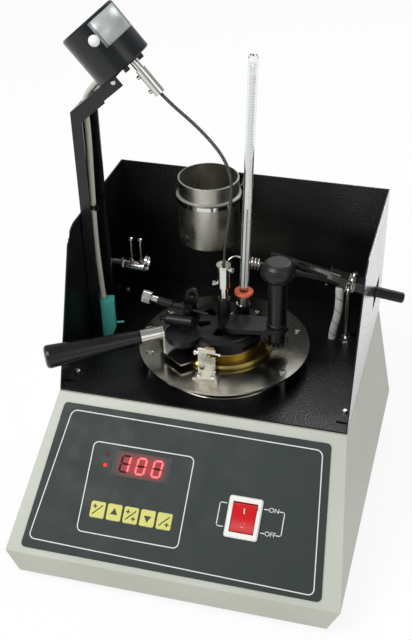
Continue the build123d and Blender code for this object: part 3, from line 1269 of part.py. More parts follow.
def coil_route():
    """The glow wire: a lead out of the lever, four turns and the hooked tip."""
    steps = COIL_TURNS * 4
    points, dirs = [], []
    for i in range(steps + 1):
        a = radians(i * 90 + 180)
        points.append(Vector(COIL_AT + COIL_PITCH * i / 4, COIL_R * cos(a), COIL_R * sin(a)))
        dirs.append(Vector(COIL_PITCH * 2 / pi, -COIL_R * sin(a), COIL_R * cos(a)).normalized())
    edges = [Line((COIL_AT - 8.0, -1.0, 0), (COIL_AT - 3.6, -1.0, 0))]
    edges += biarc(Vector(COIL_AT - 3.6, -1.0, 0), Vector(1, 0, 0), points[0], dirs[0])
    for a, da, b, db in zip(points, dirs, points[1:], dirs[1:]):
        edges += biarc(a, da, b, db)
    x = points[-1].X
    tip = [
        (Vector(x + 4.5, -1.5, 0.6), Vector(1, 0.1, 0.1)),
        (Vector(x + 9.0, -2.5, 1.3), Vector(1, -0.1, 0.0)),
        (Vector(x + 13.5, -1.5, -0.3), Vector(0.7, 0.4, -0.7)),
        (Vector(x + 15.6, 0.2, -4.2), Vector(0.6, 0.3, -0.8)),
    ]
    last, last_dir = points[-1], dirs[-1]
    for point, direction in tip:
        edges += biarc(last, last_dir, point, direction.normalized())
        last, last_dir = point, direction.normalized()
    edges.append(Line(last, last + last_dir * WIRE_R * 2))
    return Wire(edges)


def igniter_coil():
    route = coil_route()
    turns = [
        Vector(COIL_PITCH * t / 48, COIL_R * cos(2 * pi * t / 48), COIL_R * sin(2 * pi * t / 48))
        for t in range(COIL_TURNS * 48)
    ]
    print("igniter coil least gap", round(least_gap(turns, WIRE_R, 24), 2))
    start = Plane(origin=route @ 0, z_dir=route % 0)
    tube = sweep(start * Circle(WIRE_R), path=route)
    return lever_frame() * tube


def sleeve_points():
    x, y = SLEEVE_FOOT
    return [(x, y, -14.0), (x, y, 5.0)] + [(x + dx, y + dy, z) for dx, dy, z in SLEEVE_BEND]


def igniter_sleeve():
    """The braided sleeve with the lighter's wires, from the deck up to the lever."""
    return corded(sleeve_points(), BRAID_R, "igniter sleeve")


# ================================================================ fasteners

def fixing_screws():
    """Screws of the deck, the heater plate, the latch, the hoop and the hood."""
    wall = DECK_D - HOOD_T
    screws = [screw(Pos(x, y, HOOD_T)) for x, y in deck_screw_places()]
    screws += [screw(place, head_r=3.0, shank_l=4.0) for place in post_places(PLATE_TOP)]
    screws.append(screw(Pos(*column_screw(), COLUMN_SHEET)))
    screws.append(screw(on_lip(), head_r=2.0, head_h=1.2, shank_r=LIP_SCREW_R, shank_l=COLUMN_SHEET * 1.5))
    screws += [screw(Pos(x, y, PLATE_TOP + LATCH_T), head_r=2.2) for x, y in LATCH_FEET]
    for x in hoop_screw_places():
        place = Pos(x, wall - HOOP_T, HOOP_SCREW_Z) * Rot(90, 0, 0)
        screws.append(screw(place, head_r=2.0, shank_l=HOOP_T + HOOD_T))
    return screws


# ================================================================ everything together

PARTS = {
    "cabinet_shell": cabinet_shell,
    "base_plate": base_plate,
    "feet": feet,
    "deck_plate": deck_plate,
    "hood": hood,
    "panel_overlay": panel_overlay,
    "display_window": display_window,
    "indicator_lamps": indicator_lamps,
    "switch_bezel": switch_bezel,
    "rocker": rocker,
    "control_board": control_board,
    "transformer": transformer,
    "power_inlet": power_inlet,
    "heater_plate": heater_plate,
    "plate_posts": plate_posts,
    "air_bath": air_bath,
    "heater_band": heater_band,
    "bath_jacket": bath_jacket,
    "test_cup": test_cup,
    "handle_plate": handle_plate,
    "handle_grip": handle_grip,
    "cup_screws": cup_screws,
    "latch_plate": latch_plate,
    "lid_ring": lid_ring,
    "lid_plate": lid_plate,
    "lid_screws": lid_screws,
    "shutter": shutter,
    "knob_spindle": knob_spindle,
    "shutter_knob": shutter_knob,
    "stirrer": stirrer,
    "thermometer_socket": thermometer_socket,
    "thermometer": thermometer,
    "thermometer_ring": thermometer_ring,
    "burner_tube": burner_tube,
    "burner_valve": burner_valve,
    "burner_lug": burner_lug,
    "gas_chamber": gas_chamber,
    "column": column,
    "motor": motor,
    "motor_coupling": motor_coupling,
    "flexible_shaft": flexible_shaft,
    "motor_lead": motor_lead,
    "lead_block": lead_block,
    "lead_tie": lead_tie,
    "gas_manifold": gas_manifold,
    "steel_cup": steel_cup,
    "cup_hoop": cup_hoop,
    "igniter_post": igniter_post,
    "igniter_bracket": igniter_bracket,
    "igniter_lever": igniter_lever,
    "igniter_coil": igniter_coil,
    "igniter_sleeve": igniter_sleeve,
    "fixing_screws": fixing_screws,
}

solids = {name: make() for name, make in PARTS.items()}
for i in range(KEY_COUNT):
    solids[f"key_{i + 1}"] = key(i)
for i, x in enumerate(TAP_X):
    solids[f"gas_tap_{i + 1}"] = gas_tap(x)

shapes = {
    name: Compound(children=[s for s in made]) if isinstance(made, (list, tuple)) else made
    for name, made in solids.items()
}
extent = Compound(children=[copy for copy in (Compound(s.solids()) for s in shapes.values())]).bounding_box()
ORIGIN = Pos(
    -(extent.min.X + extent.max.X) / 2, -(extent.min.Y + extent.max.Y) / 2, FOOT_H - BASE_Z
)
print("origin shift", [round(v, 3) for v in ORIGIN.position], "size", [round(v, 1) for v in extent.size])

os.makedirs("parts", exist_ok=True)
for name, shape in shapes.items():
    export_step(ORIGIN * shape, f"parts/{name}.step")
print(len(shapes), "nodes")
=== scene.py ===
# %% [markdown]
# # Looks for a closed-cup flash point tester
# The CAD model fixes every size and place. This script gives each CAD piece its finish, adds what is
# too fine or too soft for CAD (print, digits, cords, glass), and sets up camera, floor and light.
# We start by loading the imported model, which imports each CAD piece as an object at the origin, and
# by keeping its box, because nothing that we add may make the tester bigger.

# %% Load the frame
from math import atan2, cos, pi, radians, sin, sqrt

import bmesh
import bpy
from mathutils import Matrix, Vector


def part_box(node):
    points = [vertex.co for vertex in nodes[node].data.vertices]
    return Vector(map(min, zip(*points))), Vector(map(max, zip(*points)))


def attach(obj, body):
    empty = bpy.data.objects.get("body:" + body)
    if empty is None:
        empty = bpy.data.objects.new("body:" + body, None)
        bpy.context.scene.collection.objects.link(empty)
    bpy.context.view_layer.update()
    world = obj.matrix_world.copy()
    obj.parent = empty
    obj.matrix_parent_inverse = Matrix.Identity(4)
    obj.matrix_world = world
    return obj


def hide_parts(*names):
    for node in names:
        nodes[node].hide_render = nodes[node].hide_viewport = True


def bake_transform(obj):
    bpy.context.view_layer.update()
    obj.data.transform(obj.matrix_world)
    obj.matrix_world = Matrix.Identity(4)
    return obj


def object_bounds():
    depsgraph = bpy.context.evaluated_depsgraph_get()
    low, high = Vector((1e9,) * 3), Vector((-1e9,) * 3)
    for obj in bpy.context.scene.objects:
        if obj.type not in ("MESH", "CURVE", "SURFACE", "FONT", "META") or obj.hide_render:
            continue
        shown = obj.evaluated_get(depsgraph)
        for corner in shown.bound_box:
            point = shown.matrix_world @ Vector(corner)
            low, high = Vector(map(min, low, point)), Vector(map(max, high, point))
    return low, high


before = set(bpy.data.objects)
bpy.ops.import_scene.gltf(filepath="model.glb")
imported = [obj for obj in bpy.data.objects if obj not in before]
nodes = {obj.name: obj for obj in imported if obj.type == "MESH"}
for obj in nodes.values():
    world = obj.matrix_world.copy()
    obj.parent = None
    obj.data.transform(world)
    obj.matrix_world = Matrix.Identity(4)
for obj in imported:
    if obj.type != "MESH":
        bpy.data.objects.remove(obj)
cad_box = [list(corner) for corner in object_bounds()]
MM = 0.001
print("CAD pieces:", len(nodes), "box:", cad_box)

# %% [markdown]
# ## Places that everything else is measured from
# The CAD was drawn from the middle of the deck's front edge. The deck's own box gives that corner
# back, and the round heater plate gives the axis that the cup, the lid and the stirrer share. The
# sloped panel gets a matrix of its own, so that print can be laid out flat, in millimetres, and
# then dropped on to the slope.

# %% Deck, cup axis and panel
deck_low, deck_high = (Vector(c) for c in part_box("deck_plate"))
deck = Vector(((deck_low.x + deck_high.x) / 2, deck_low.y, deck_high.z))
plate_low, plate_high = (Vector(c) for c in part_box("heater_plate"))
cup_axis = (plate_low + plate_high) / 2
PANEL_RUN, PANEL_DROP = 95.6, 86.4      # forward and down, in millimetres
slope = atan2(PANEL_DROP, PANEL_RUN)
panel = Matrix.Translation(deck) @ Matrix.Rotation(slope, 4, "X") @ Matrix.Scale(MM, 4)
print("deck corner:", deck, "slope:", round(slope * 180 / pi, 1), "degrees")


def at(x, y, z):
    """A place given in millimetres from the deck's front edge, in the model's metres."""
    return deck + Vector((x, y, z)) * MM


# %% [markdown]
# ## The camera
# The view is a real one, so it is given as a place, a direction and a lens. The picture is
# 412 x 640, so the 36 mm sensor lies along its height. The object's middle isn't the picture's
# middle, which a small lens shift takes care of.

# %% Camera
CAMERA_AT = (180.2, -587.1, 503.6)                     # millimetres from the deck's front edge
CAMERA_TURN, CAMERA_RISE = radians(13.77), radians(36.67)
FOCAL_PIXELS, PICTURE_HEIGHT = 1044.69, 640
SHIFT = (-0.0631, 0.0625)

back = Vector((sin(CAMERA_TURN) * cos(CAMERA_RISE), -cos(CAMERA_TURN) * cos(CAMERA_RISE), sin(CAMERA_RISE)))
right = Vector((cos(CAMERA_TURN), sin(CAMERA_TURN), 0))
up = back.cross(right)
view = Matrix((right, up, back)).transposed().to_4x4()
camera = bpy.data.objects.new("camera", bpy.data.cameras.new("camera"))
camera.data.sensor_width = 36
camera.data.lens = 36 * FOCAL_PIXELS / PICTURE_HEIGHT
camera.data.shift_x, camera.data.shift_y = SHIFT
camera.data.clip_start = 0.01
camera.matrix_world = Matrix.Translation(at(*CAMERA_AT)) @ view
bpy.context.collection.objects.link(camera)
bpy.context.scene.camera = camera
print("camera at", tuple(round(v, 3) for v in camera.location), "lens", round(camera.data.lens, 2))

# %% [markdown]
# ## Colours and nodes
# Colours are written as the hex values that an image editor shows, and one function turns them into
# the linear values that Blender works in. A second one adds a shader node with its settings and
# links in one line, which keeps each material readable from top to bottom.

# %% Helpers for materials


def colour(code, alpha=1.0):
    """An sRGB hex colour as linear red, green, blue and alpha."""
    parts = [int(code[i:i + 2], 16) / 255 for i in (1, 3, 5)]
    return tuple(p / 12.92 if p <= 0.04045 else ((p + 0.055) / 1.055) ** 2.4 for p in parts) + (alpha,)


def per(size_mm):
    """The texture scale at which one cell is that many millimetres, on coordinates in metres."""
    return 1000 / size_mm


def add(tree, kind, inputs=None, **settings):
    """Adds a node. An input is a value, or the socket that it is linked from."""
    node = tree.nodes.new("ShaderNode" + kind)
    for name, value in settings.items():
        setattr(node, name, value)
    for name, value in (inputs or {}).items():
        if isinstance(value, bpy.types.NodeSocket):
            tree.links.new(value, node.inputs[name])
        else:
            node.inputs[name].default_value = value
    return node


def finish(name, base, metallic=0.0, roughness=0.5, **sockets):
    """A material with its shader, and the coordinates of the piece, ready for a pattern."""
    made = bpy.data.materials.new(name)
    made.use_nodes = True
    tree = made.node_tree
    shader = tree.nodes["Principled BSDF"]
    shader.inputs["Base Color"].default_value = colour(base)
    shader.inputs["Metallic"].default_value = metallic
    shader.inputs["Roughness"].default_value = roughness
    for socket, value in sockets.items():
        shader.inputs[socket.replace("_", " ")].default_value = value
    place = add(tree, "TexCoord").outputs["Object"]
    return made, tree, shader, place


def into(shader, name, value):
    """Lets a socket drive one input of the shader."""
    shader.id_data.links.new(value, shader.inputs[name])


def bump(tree, shader, height, depth_mm, strength=1.0):
    """Turns a height pattern from 0 to 1 into relief that many millimetres deep."""
    relief = add(tree, "Bump", {"Height": height, "Distance": depth_mm * MM, "Strength": strength})
    into(shader, "Normal", relief.outputs["Normal"])


def noise(tree, place, cell_mm, detail):
    """Soft noise in space, with cells of about that size."""
    return add(tree, "TexNoise", {"Vector": place, "Scale": per(cell_mm), "Detail": detail}).outputs["Fac"]


def bands(tree, distance, cell_mm):
    """Noise along one line only, which draws the fine marks of a turning tool."""
    return add(tree, "TexNoise", {"W": distance, "Scale": per(cell_mm), "Detail": 3.0},
               noise_dimensions="1D").outputs["Fac"]


def ramp(tree, factor, low, high, at_low=0.0, at_high=1.0):
    """Maps a factor to a range, and holds it there."""
    node = add(tree, "MapRange", {"Value": factor, "From Min": low, "From Max": high,
                                  "To Min": at_low, "To Max": at_high})
    return node.outputs["Result"]


def blend_colours(tree, factor, first, second):
    """Mixes two hex colours, or a socket and a hex colour, by a factor."""
    ends = [colour(c) if isinstance(c, str) else c for c in (first, second)]
    node = add(tree, "Mix", data_type="RGBA")
    sockets = [s for s in node.inputs if s.type == "RGBA"]
    for socket, value in zip(sockets, ends):
        if isinstance(value, bpy.types.NodeSocket):
            tree.links.new(value, socket)
        else:
            socket.default_value = value
    tree.links.new(factor, node.inputs[0])
    return next(s for s in node.outputs if s.type == "RGBA")


# %% [markdown]
# ## Painted sheet metal
# The cabinet is folded steel with a warm grey powder coat. Powder coat flows out into a very shallow
# orange peel a millimetre or two across, so a soft noise bump gives the broad, slightly restless
# sheen. The hood and the deck have black crackle paint: it pulls itself into raised grains, which a
# Voronoi pattern draws, and each grain catches a point of light. The hood is painted on its inside
# only. Its outer faces are smooth metal, and the finish tells them by their place.

# %% Grey powder coat
grey_paint, tree, shader, place = finish("grey powder coat", "#B5B7AB", roughness=0.42)
peel = noise(tree, place, 2.2, 2.0)
cloud = noise(tree, place, 90, 3.0)
tint = blend_colours(tree, ramp(tree, cloud, 0.35, 0.65), "#B1B3A6", "#B9BBAF")
into(shader, "Base Color", tint)
bump(tree, shader, peel, 0.06, 0.5)

# %% Black crackle paint
BARE = 0.25      # how far inside the sheet's outer face the outer finish reaches, in millimetres


def crackle(name, base, grain_mm):
    """Black crackle paint with grains of that size."""
    made, tree, shader, place = finish(name, base, roughness=0.34, Specular_IOR_Level=0.4)
    grains = add(tree, "TexVoronoi", {"Vector": place, "Scale": per(grain_mm), "Randomness": 1.0},
                 feature="SMOOTH_F1").outputs["Distance"]
    worn = noise(tree, place, 40, 4.0)
    gloss = ramp(tree, worn, 0.3, 0.7, 0.28, 0.42)
    into(shader, "Roughness", gloss)
    bump(tree, shader, grains, 0.22, 0.8)
    return made, tree, shader, place, gloss


black_crackle = crackle("black crackle paint", "#0B0B0C", 1.3)[0]
hood_paint, tree, shader, place, gloss = crackle("black crackle paint, smooth steel outside",
                                                 "#0B0B0C", 1.5)
hood_low, hood_high = (Vector(c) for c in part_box("hood"))
spot = add(tree, "SeparateXYZ", {"Vector": place})
sides = add(tree, "Math", {0: spot.outputs["X"], 1: (hood_low.x + hood_high.x) / 2}, operation="SUBTRACT")
sides = add(tree, "Math", {0: sides.outputs[0]}, operation="ABSOLUTE")
on_side = add(tree, "Math", {0: sides.outputs[0], 1: (hood_high.x - hood_low.x) / 2 - BARE * MM},
              operation="GREATER_THAN")
on_back = add(tree, "Math", {0: spot.outputs["Y"], 1: hood_high.y - BARE * MM}, operation="GREATER_THAN")
outside = add(tree, "Math", {0: on_side.outputs[0], 1: on_back.outputs[0]}, operation="MAXIMUM").outputs[0]
into(shader, "Base Color", blend_colours(tree, outside, "#0B0B0C", "#B9BABC"))
into(shader, "Metallic", outside)
polish = add(tree, "Mix", {0: outside, 2: gloss, 3: 0.16}, data_type="FLOAT").outputs[0]
into(shader, "Roughness", polish)
print("paints ready")

# %% [markdown]
# ## Bare metals
# The heater plate is turned stainless steel: the tool leaves rings round its middle, so the pattern
# depends only on the distance from the cup's axis. Pressed and folded parts are plain bright steel
# with faint smudges. The cup's flange is turned brass, warm and a little dull with heat. The spare cup
# is spun sheet, so its marks run round it and it is duller than the plate.

# %% Turned and plain metals


def rings(tree, place, centre, ring_mm):
    """Noise that changes only with the distance from an upright axis, as a lathe leaves it."""
    off = add(tree, "VectorMath", {0: place, 1: centre}, operation="SUBTRACT").outputs[0]
    flat = add(tree, "VectorMath", {0: off, 1: (1, 1, 0)}, operation="MULTIPLY").outputs[0]
    return bands(tree, add(tree, "VectorMath", {0: flat}, operation="LENGTH").outputs["Value"], ring_mm)


turned_steel, tree, shader, place = finish("turned stainless steel", "#A8A598", 1.0, 0.2)
marks = rings(tree, place, cup_axis, 0.9)
smudge = noise(tree, place, 25, 4.0)
into(shader, "Roughness", ramp(tree, smudge, 0.3, 0.75, 0.12, 0.26))
into(shader, "Base Color", blend_colours(tree, marks, "#99968A", "#B5B2A6"))
bump(tree, shader, marks, 0.03, 0.35)


def plain_metal(name, base, roughness, smudge_mm=12.0):
    """A bright metal with smudges that change its gloss a little."""
    made, tree, shader, place = finish(name, base, 1.0, roughness)
    smudge = noise(tree, place, smudge_mm, 5.0)
    into(shader, "Roughness", ramp(tree, smudge, 0.3, 0.7, roughness * 0.75, roughness * 1.4))
    return made


stainless = plain_metal("pressed stainless steel", "#C4C2BA", 0.17)
bright_plate = plain_metal("nickel plate", "#D2D1CB", 0.12, 6.0)
dull_steel = plain_metal("dull steel", "#77746E", 0.38)
cast_iron = plain_metal("cast iron", "#4A4A48", 0.55)

spun_steel, tree, shader, place = finish("spun stainless cup", "#BDBBB0", 1.0, 0.3)
height = add(tree, "SeparateXYZ", {"Vector": place}).outputs["Z"]
lines = bands(tree, height, 0.7)
stains = noise(tree, place, 14, 5.0)
into(shader, "Roughness", ramp(tree, stains, 0.3, 0.7, 0.24, 0.42))
into(shader, "Base Color", blend_colours(tree, lines, "#ADABA0", "#CBC9BF"))
bump(tree, shader, lines, 0.02, 0.4)

brass, tree, shader, place = finish("turned brass", "#A8935A", 1.0, 0.26)
marks = rings(tree, place, cup_axis, 0.8)
into(shader, "Base Color", blend_colours(tree, marks, "#94803F", "#C4AE6E"))
bump(tree, shader, marks, 0.03, 0.35)

# %% [markdown]
# ## Black finishes, plastics and rubber
# The lid and its fittings are steel with a satin black finish, which drifts a little between two close
# blacks. The thermometer's socket is the same, up to the height where its nickel ferrule begins. The
# handle and the knob are moulded phenolic, the motor and its column are brushed over with enamel, and
# small parts are plain moulded plastic. Each differs mostly in its gloss.

# %% Black finishes and plastics


def coated(name, base, roughness, grain_mm, depth_mm, second=None, **sockets):
    """A moulded or coated surface: a fine grain, and two close colours that drift into each other."""
    made, tree, shader, place = finish(name, base, 0.0, roughness, **sockets)
    grain = noise(tree, place, grain_mm, 3.0)
    drift = noise(tree, place, 18, 2.0)
    if second:
        into(shader, "Base Color", blend_colours(tree, ramp(tree, drift, 0.35, 0.65), base, second))
    into(shader, "Roughness", ramp(tree, drift, 0.3, 0.7, roughness * 0.85, roughness * 1.2))
    bump(tree, shader, grain, depth_mm, 0.5)
    return made


satin_black = coated("satin black finish", "#08090A", 0.36, 0.9, 0.03, "#0F1011", Specular_IOR_Level=0.35)
phenolic = coated("black phenolic moulding", "#0B0B0B", 0.28, 3.0, 0.03, "#111111", Specular_IOR_Level=0.4)
FERRULE_FROM = 48.0      # above the deck, in millimetres
ferrule, tree, shader, place = finish("black socket with a nickel ferrule", "#08090A", roughness=0.3)
height = add(tree, "SeparateXYZ", {"Vector": place}).outputs["Z"]
above = add(tree, "Math", {0: height, 1: deck.z + FERRULE_FROM * MM}, operation="GREATER_THAN").outputs[0]
worn = noise(tree, place, 3, 3.0)
bright = blend_colours(tree, worn, "#B9B6AB", "#D2CFC6")
into(shader, "Base Color", blend_colours(tree, above, "#08090A", bright))
into(shader, "Metallic", above)
knob_black = coated("satin black knob", "#0F100E", 0.40, 1.0, 0.03, "#171815", Specular_IOR_Level=0.4)
enamel = coated("blue-black enamel", "#0A0D0E", 0.24, 5.0, 0.10, "#101516", Specular_IOR_Level=0.45)
rubber = coated("black rubber", "#161616", 0.75, 0.8, 0.05)
red_silicone = coated("red silicone rubber", "#C8502E", 0.50, 1.5, 0.03, "#D2603C")
white_plastic = coated("white switch plastic", "#E4E3DC", 0.32, 2.0, 0.01)
red_plastic = coated("clear red rocker", "#CC1018", 0.34, 4.0, 0.01, "#C00D14", Specular_IOR_Level=0.3)
teal_plastic = coated("teal connector plastic", "#4CB2A5", 0.34, 2.0, 0.02, "#56BDB0")
key_plastic = coated("yellow-green key film", "#C6C35C", 0.45, 1.5, 0.01, "#CDCA66")
slate_film = coated("slate panel film", "#262E2B", 0.5, 1.1, 0.015, "#2B3430", Specular_IOR_Level=0.25)
grey_cord = coated("grey cable sheath", "#8E8D86", 0.5, 1.5, 0.02, "#97968F")
board_green = coated("green circuit board", "#1E5A35", 0.4, 2.0, 0.02)
print("plastics ready")

# %% [markdown]
# ## Display window and lamps
# The window is dark red plastic over lit digits, so red light spreads behind it and fades towards its
# edges, where it looks as dark as the film around it. Of the two small lamps only the lower one is lit.
# Both finishes measure their place on the panel, across and down the slope.

# %% Red window and lamps
WINDOW_X, WINDOW_Y = -36.5, -49.8        # its middle on the panel, in millimetres
GLOW_HALF, GLOW_FADE = (12.0, 3.5), (9.0, 7.0)      # full glow to each side and up, and how far it fades
LAMP_SPLIT = 49.0        # down the panel: the lamp above is dark, the one below is lit
GLOW_STRENGTH, LAMP_STRENGTH = 0.75, 1.5


def panel_run(tree, place):
    """How far a point lies to the right and down the panel, as two sockets in millimetres."""
    off = add(tree, "VectorMath", {0: place, 1: deck}, operation="SUBTRACT").outputs[0]
    across = add(tree, "VectorMath", {0: off, 1: (1 / MM, 0, 0)}, operation="DOT_PRODUCT").outputs["Value"]
    down = Vector((0, -cos(slope), -sin(slope))) / MM
    return across, add(tree, "VectorMath", {0: off, 1: down}, operation="DOT_PRODUCT").outputs["Value"]


def near(tree, value, middle, half, soft):
    """1 where the value is within half of the middle, falling to 0 over the soft border."""
    off = add(tree, "Math", {0: value, 1: middle}, operation="SUBTRACT").outputs[0]
    off = add(tree, "Math", {0: off}, operation="ABSOLUTE").outputs[0]
    return ramp(tree, off, half, half + soft, 1.0, 0.0)


red_window, tree, shader, place = finish("dark red window", "#1E0506", roughness=0.4,
                                         Specular_IOR_Level=0.25)
across, down = panel_run(tree, place)
wide = near(tree, across, WINDOW_X, GLOW_HALF[0], GLOW_FADE[0])
high = near(tree, down, -WINDOW_Y, GLOW_HALF[1], GLOW_FADE[1])
halo = add(tree, "Math", {0: wide, 1: high}, operation="MULTIPLY").outputs[0]
glass_grain = noise(tree, place, 1.2, 2.0)
into(shader, "Base Color", blend_colours(tree, halo, "#232A28", "#240506"))
into(shader, "Emission Strength", ramp(tree, halo, 0, 1, 0.0, GLOW_STRENGTH))
into(shader, "Emission Color", blend_colours(tree, glass_grain, "#A81018", "#C01820"))
red_lamp, tree, shader, place = finish("red lamp", "#6E1410", roughness=0.2, Coat_Weight=0.5)
across, down = panel_run(tree, place)
lit = ramp(tree, down, LAMP_SPLIT - 0.5, LAMP_SPLIT + 0.5)
into(shader, "Emission Strength", ramp(tree, lit, 0, 1, 0.0, LAMP_STRENGTH))
into(shader, "Emission Color", blend_colours(tree, lit, "#6E1410", "#FF2A22"))
print("display finishes ready")

# %% [markdown]
# ## One finish for every CAD piece
# A CAD piece keeps its mesh and only changes its material. The list goes finish by finish, so that
# pieces of one material are seen to share it.

# %% Dress the CAD pieces
finishes = {
    grey_paint: ["cabinet_shell", "base_plate"],
    black_crackle: ["deck_plate"],
    hood_paint: ["hood"],
    turned_steel: ["heater_plate"],
    stainless: ["plate_posts", "heater_band", "bath_jacket", "handle_plate", "latch_plate"],
    spun_steel: ["steel_cup"],
    bright_plate: ["cup_screws", "lid_screws", "stirrer", "burner_valve", "motor_coupling", "gas_manifold",
                   "gas_tap_1", "gas_tap_2", "cup_hoop", "igniter_post", "igniter_bracket", "fixing_screws"],
    dull_steel: ["transformer", "flexible_shaft", "igniter_coil"],
    cast_iron: ["air_bath"],
    brass: ["test_cup"],
    satin_black: ["lid_ring", "lid_plate", "shutter", "knob_spindle", "burner_tube",
                  "burner_lug", "gas_chamber", "igniter_lever"],
    phenolic: ["handle_grip", "power_inlet", "lead_tie"],
    knob_black: ["shutter_knob"],
    ferrule: ["thermometer_socket"],
    enamel: ["motor", "column"],
    rubber: ["feet"],
    red_silicone: ["thermometer_ring"],
    white_plastic: ["switch_bezel", "igniter_sleeve", "thermometer"],
    red_plastic: ["rocker"],
    teal_plastic: ["lead_block"],
    key_plastic: [f"key_{i}" for i in range(1, 6)],
    slate_film: ["panel_overlay"],
    red_window: ["display_window"],
    red_lamp: ["indicator_lamps"],
    grey_cord: ["motor_lead"],
    board_green: ["control_board"],
}
for material, names in finishes.items():
    for name in names:
        nodes[name].data.materials.clear()
        nodes[name].data.materials.append(material)
bare = sorted(set(nodes) - {n for names in finishes.values() for n in names})
print("pieces without a finish:", bare)

# %% [markdown]
# ## Making pieces
# New pieces are made with bmesh, in whichever local frame is easiest, and then moved into the
# model's frame by a matrix, so that each object ends up at the origin like the CAD ones.

# %% Helpers for pieces
INK = 0.05       # thickness of print


def piece(name, shape, place, material, body="base", smooth=False):
    """Turns a bmesh into an object whose place is in its mesh, and lets it ride on a body."""
    if not isinstance(place, Matrix):
        place = Matrix.Translation(place)
    shape.transform(place)
    bmesh.ops.recalc_face_normals(shape, faces=shape.faces)
    mesh = bpy.data.meshes.new(name)
    shape.to_mesh(mesh)
    shape.free()
    mesh.materials.append(material)
    if smooth is not None:
        for face in mesh.polygons:
            face.use_smooth = smooth
    made = bpy.data.objects.new(name, mesh)
    bpy.context.collection.objects.link(made)
    if body:
        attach(made, body)
    return made


def bar(shape, start, end, width, height):
    """Adds a flat bar from start to end in the XY plane, as print or a strip of that height."""
    start, end = Vector((*start, 0)), Vector((*end, 0))
    run = end - start
    turn = Matrix.Rotation(atan2(run.y, run.x), 4, "Z")
    size = Matrix.Diagonal((run.length + width, width, height, 1))
    move = Matrix.Translation((start + end) / 2 + Vector((0, 0, height / 2)))
    bmesh.ops.create_cube(shape, size=1, matrix=move @ turn @ size)


def outline(shape, corners, width, height):
    """Adds a line of bars through the corners."""
    for start, end in zip(corners, corners[1:]):
        bar(shape, start, end, width, height)


def frame_line(corners, width, radius):
    """A closed printed line, as a sheet of ink with its corners rounded and its middle taken out."""
    shape = bmesh.new()
    bmesh.ops.create_grid(shape, x_segments=1, y_segments=1, size=1)
    places = dict(zip(((-1, 1), (1, 1), (1, -1), (-1, -1)), corners))
    for vertex in shape.verts:
        vertex.co = (*places[round(vertex.co.x), round(vertex.co.y)], 0)
    bmesh.ops.bevel(shape, geom=shape.verts[:], offset=radius, segments=6, profile=0.5,
                    affect="VERTICES")
    middle = shape.faces[:]
    bmesh.ops.inset_region(shape, faces=middle, thickness=width, use_boundary=True, use_even_offset=True)
    bmesh.ops.delete(shape, geom=middle, context="FACES")
    bmesh.ops.solidify(shape, geom=shape.faces[:], thickness=INK)
    low = min(vertex.co.z for vertex in shape.verts)
    bmesh.ops.translate(shape, verts=shape.verts, vec=(0, 0, -low))
    return shape


def lettering(name, words, size, x, y, lift):
    """Letters as a mesh, in the frame that they were set in."""
    curve = bpy.data.curves.new(name, "FONT")
    curve.body, curve.size = words, size
    curve.align_x, curve.align_y = "CENTER", "CENTER"
    curve.extrude = INK / 2
    text = bpy.data.objects.new(name, curve)
    mesh = bpy.data.meshes.new_from_object(text)
    shape = bmesh.new()
    shape.from_mesh(mesh)
    bpy.data.objects.remove(text)
    bmesh.ops.translate(shape, verts=shape.verts, vec=(x, y, lift))
    return shape


# %% [markdown]
# ## Print on the panel
# The panel film is printed in white: a thin frame, a second frame round the display, and a bracket
# that leads from the rocker switch to ON and OFF. Ink has no thickness to speak of, but as mesh strips
# a twentieth of a millimetre proud it prints sharp at any distance, and the export keeps it. The
# maker's title and labels are left bare.

# %% Frames, bracket, ON and OFF
FILM = 0.8       # thickness of the film, which the print lies on
THIN, BOLD, LETTER = 0.7, 0.8, 4.9      # widths of the bracket and the frames, and the letters' size
ROW_ON, ROW_OFF = -65.5, -83.0          # up the panel, the rows that the bracket joins
white_ink = finish("white screen print", "#D9DAD4", roughness=0.6)[0]
black_ink = finish("olive-black screen print", "#35361C", roughness=0.6)[0]
print_shape = bmesh.new()
for corners in (
    [(33.5, ROW_ON), (29.5, ROW_ON), (28.5, ROW_ON - 1),
     (28.5, ROW_OFF + 1), (29.5, ROW_OFF), (33.5, ROW_OFF)],
    [(62.2, ROW_ON), (65.0, ROW_ON)],
    [(62.2, ROW_OFF), (64.6, ROW_OFF)],
    [(73.6, ROW_ON), (76.4, ROW_ON), (77.4, ROW_ON - 1),
     (77.4, ROW_OFF + 1), (76.4, ROW_OFF), (74.2, ROW_OFF)],
):
    outline(print_shape, corners, THIN, INK)
on_film = panel @ Matrix.Translation((0, 0, FILM))
piece("panel_lines", print_shape, on_film, white_ink)
panel_corners = ((-99.4, -14.7), (97.8, -15.6), (108.4, -120.7), (-113.1, -117.1))
display_corners = ((-76.9, -35.9), (3.4, -35.9), (3.4, -105.4), (-76.9, -105.4))
piece("panel_frame", frame_line(panel_corners, BOLD, radius=5.0), on_film, white_ink)
piece("display_frame", frame_line(display_corners, BOLD, radius=4.5), on_film, white_ink)
for name, words, x, y in (("word_on", "ON", 69.3, ROW_ON), ("word_off", "OFF", 69.4, ROW_OFF)):
    piece(name, lettering(name, words, LETTER, x, y, INK / 2), on_film, white_ink)
print("panel print ready")

# %% [markdown]
# ## The display
# Behind the dark red window sit three seven-segment digits. Lit segments glow; the others are still
# faintly there. A segment is a short bar, and the digits lean as such displays do.

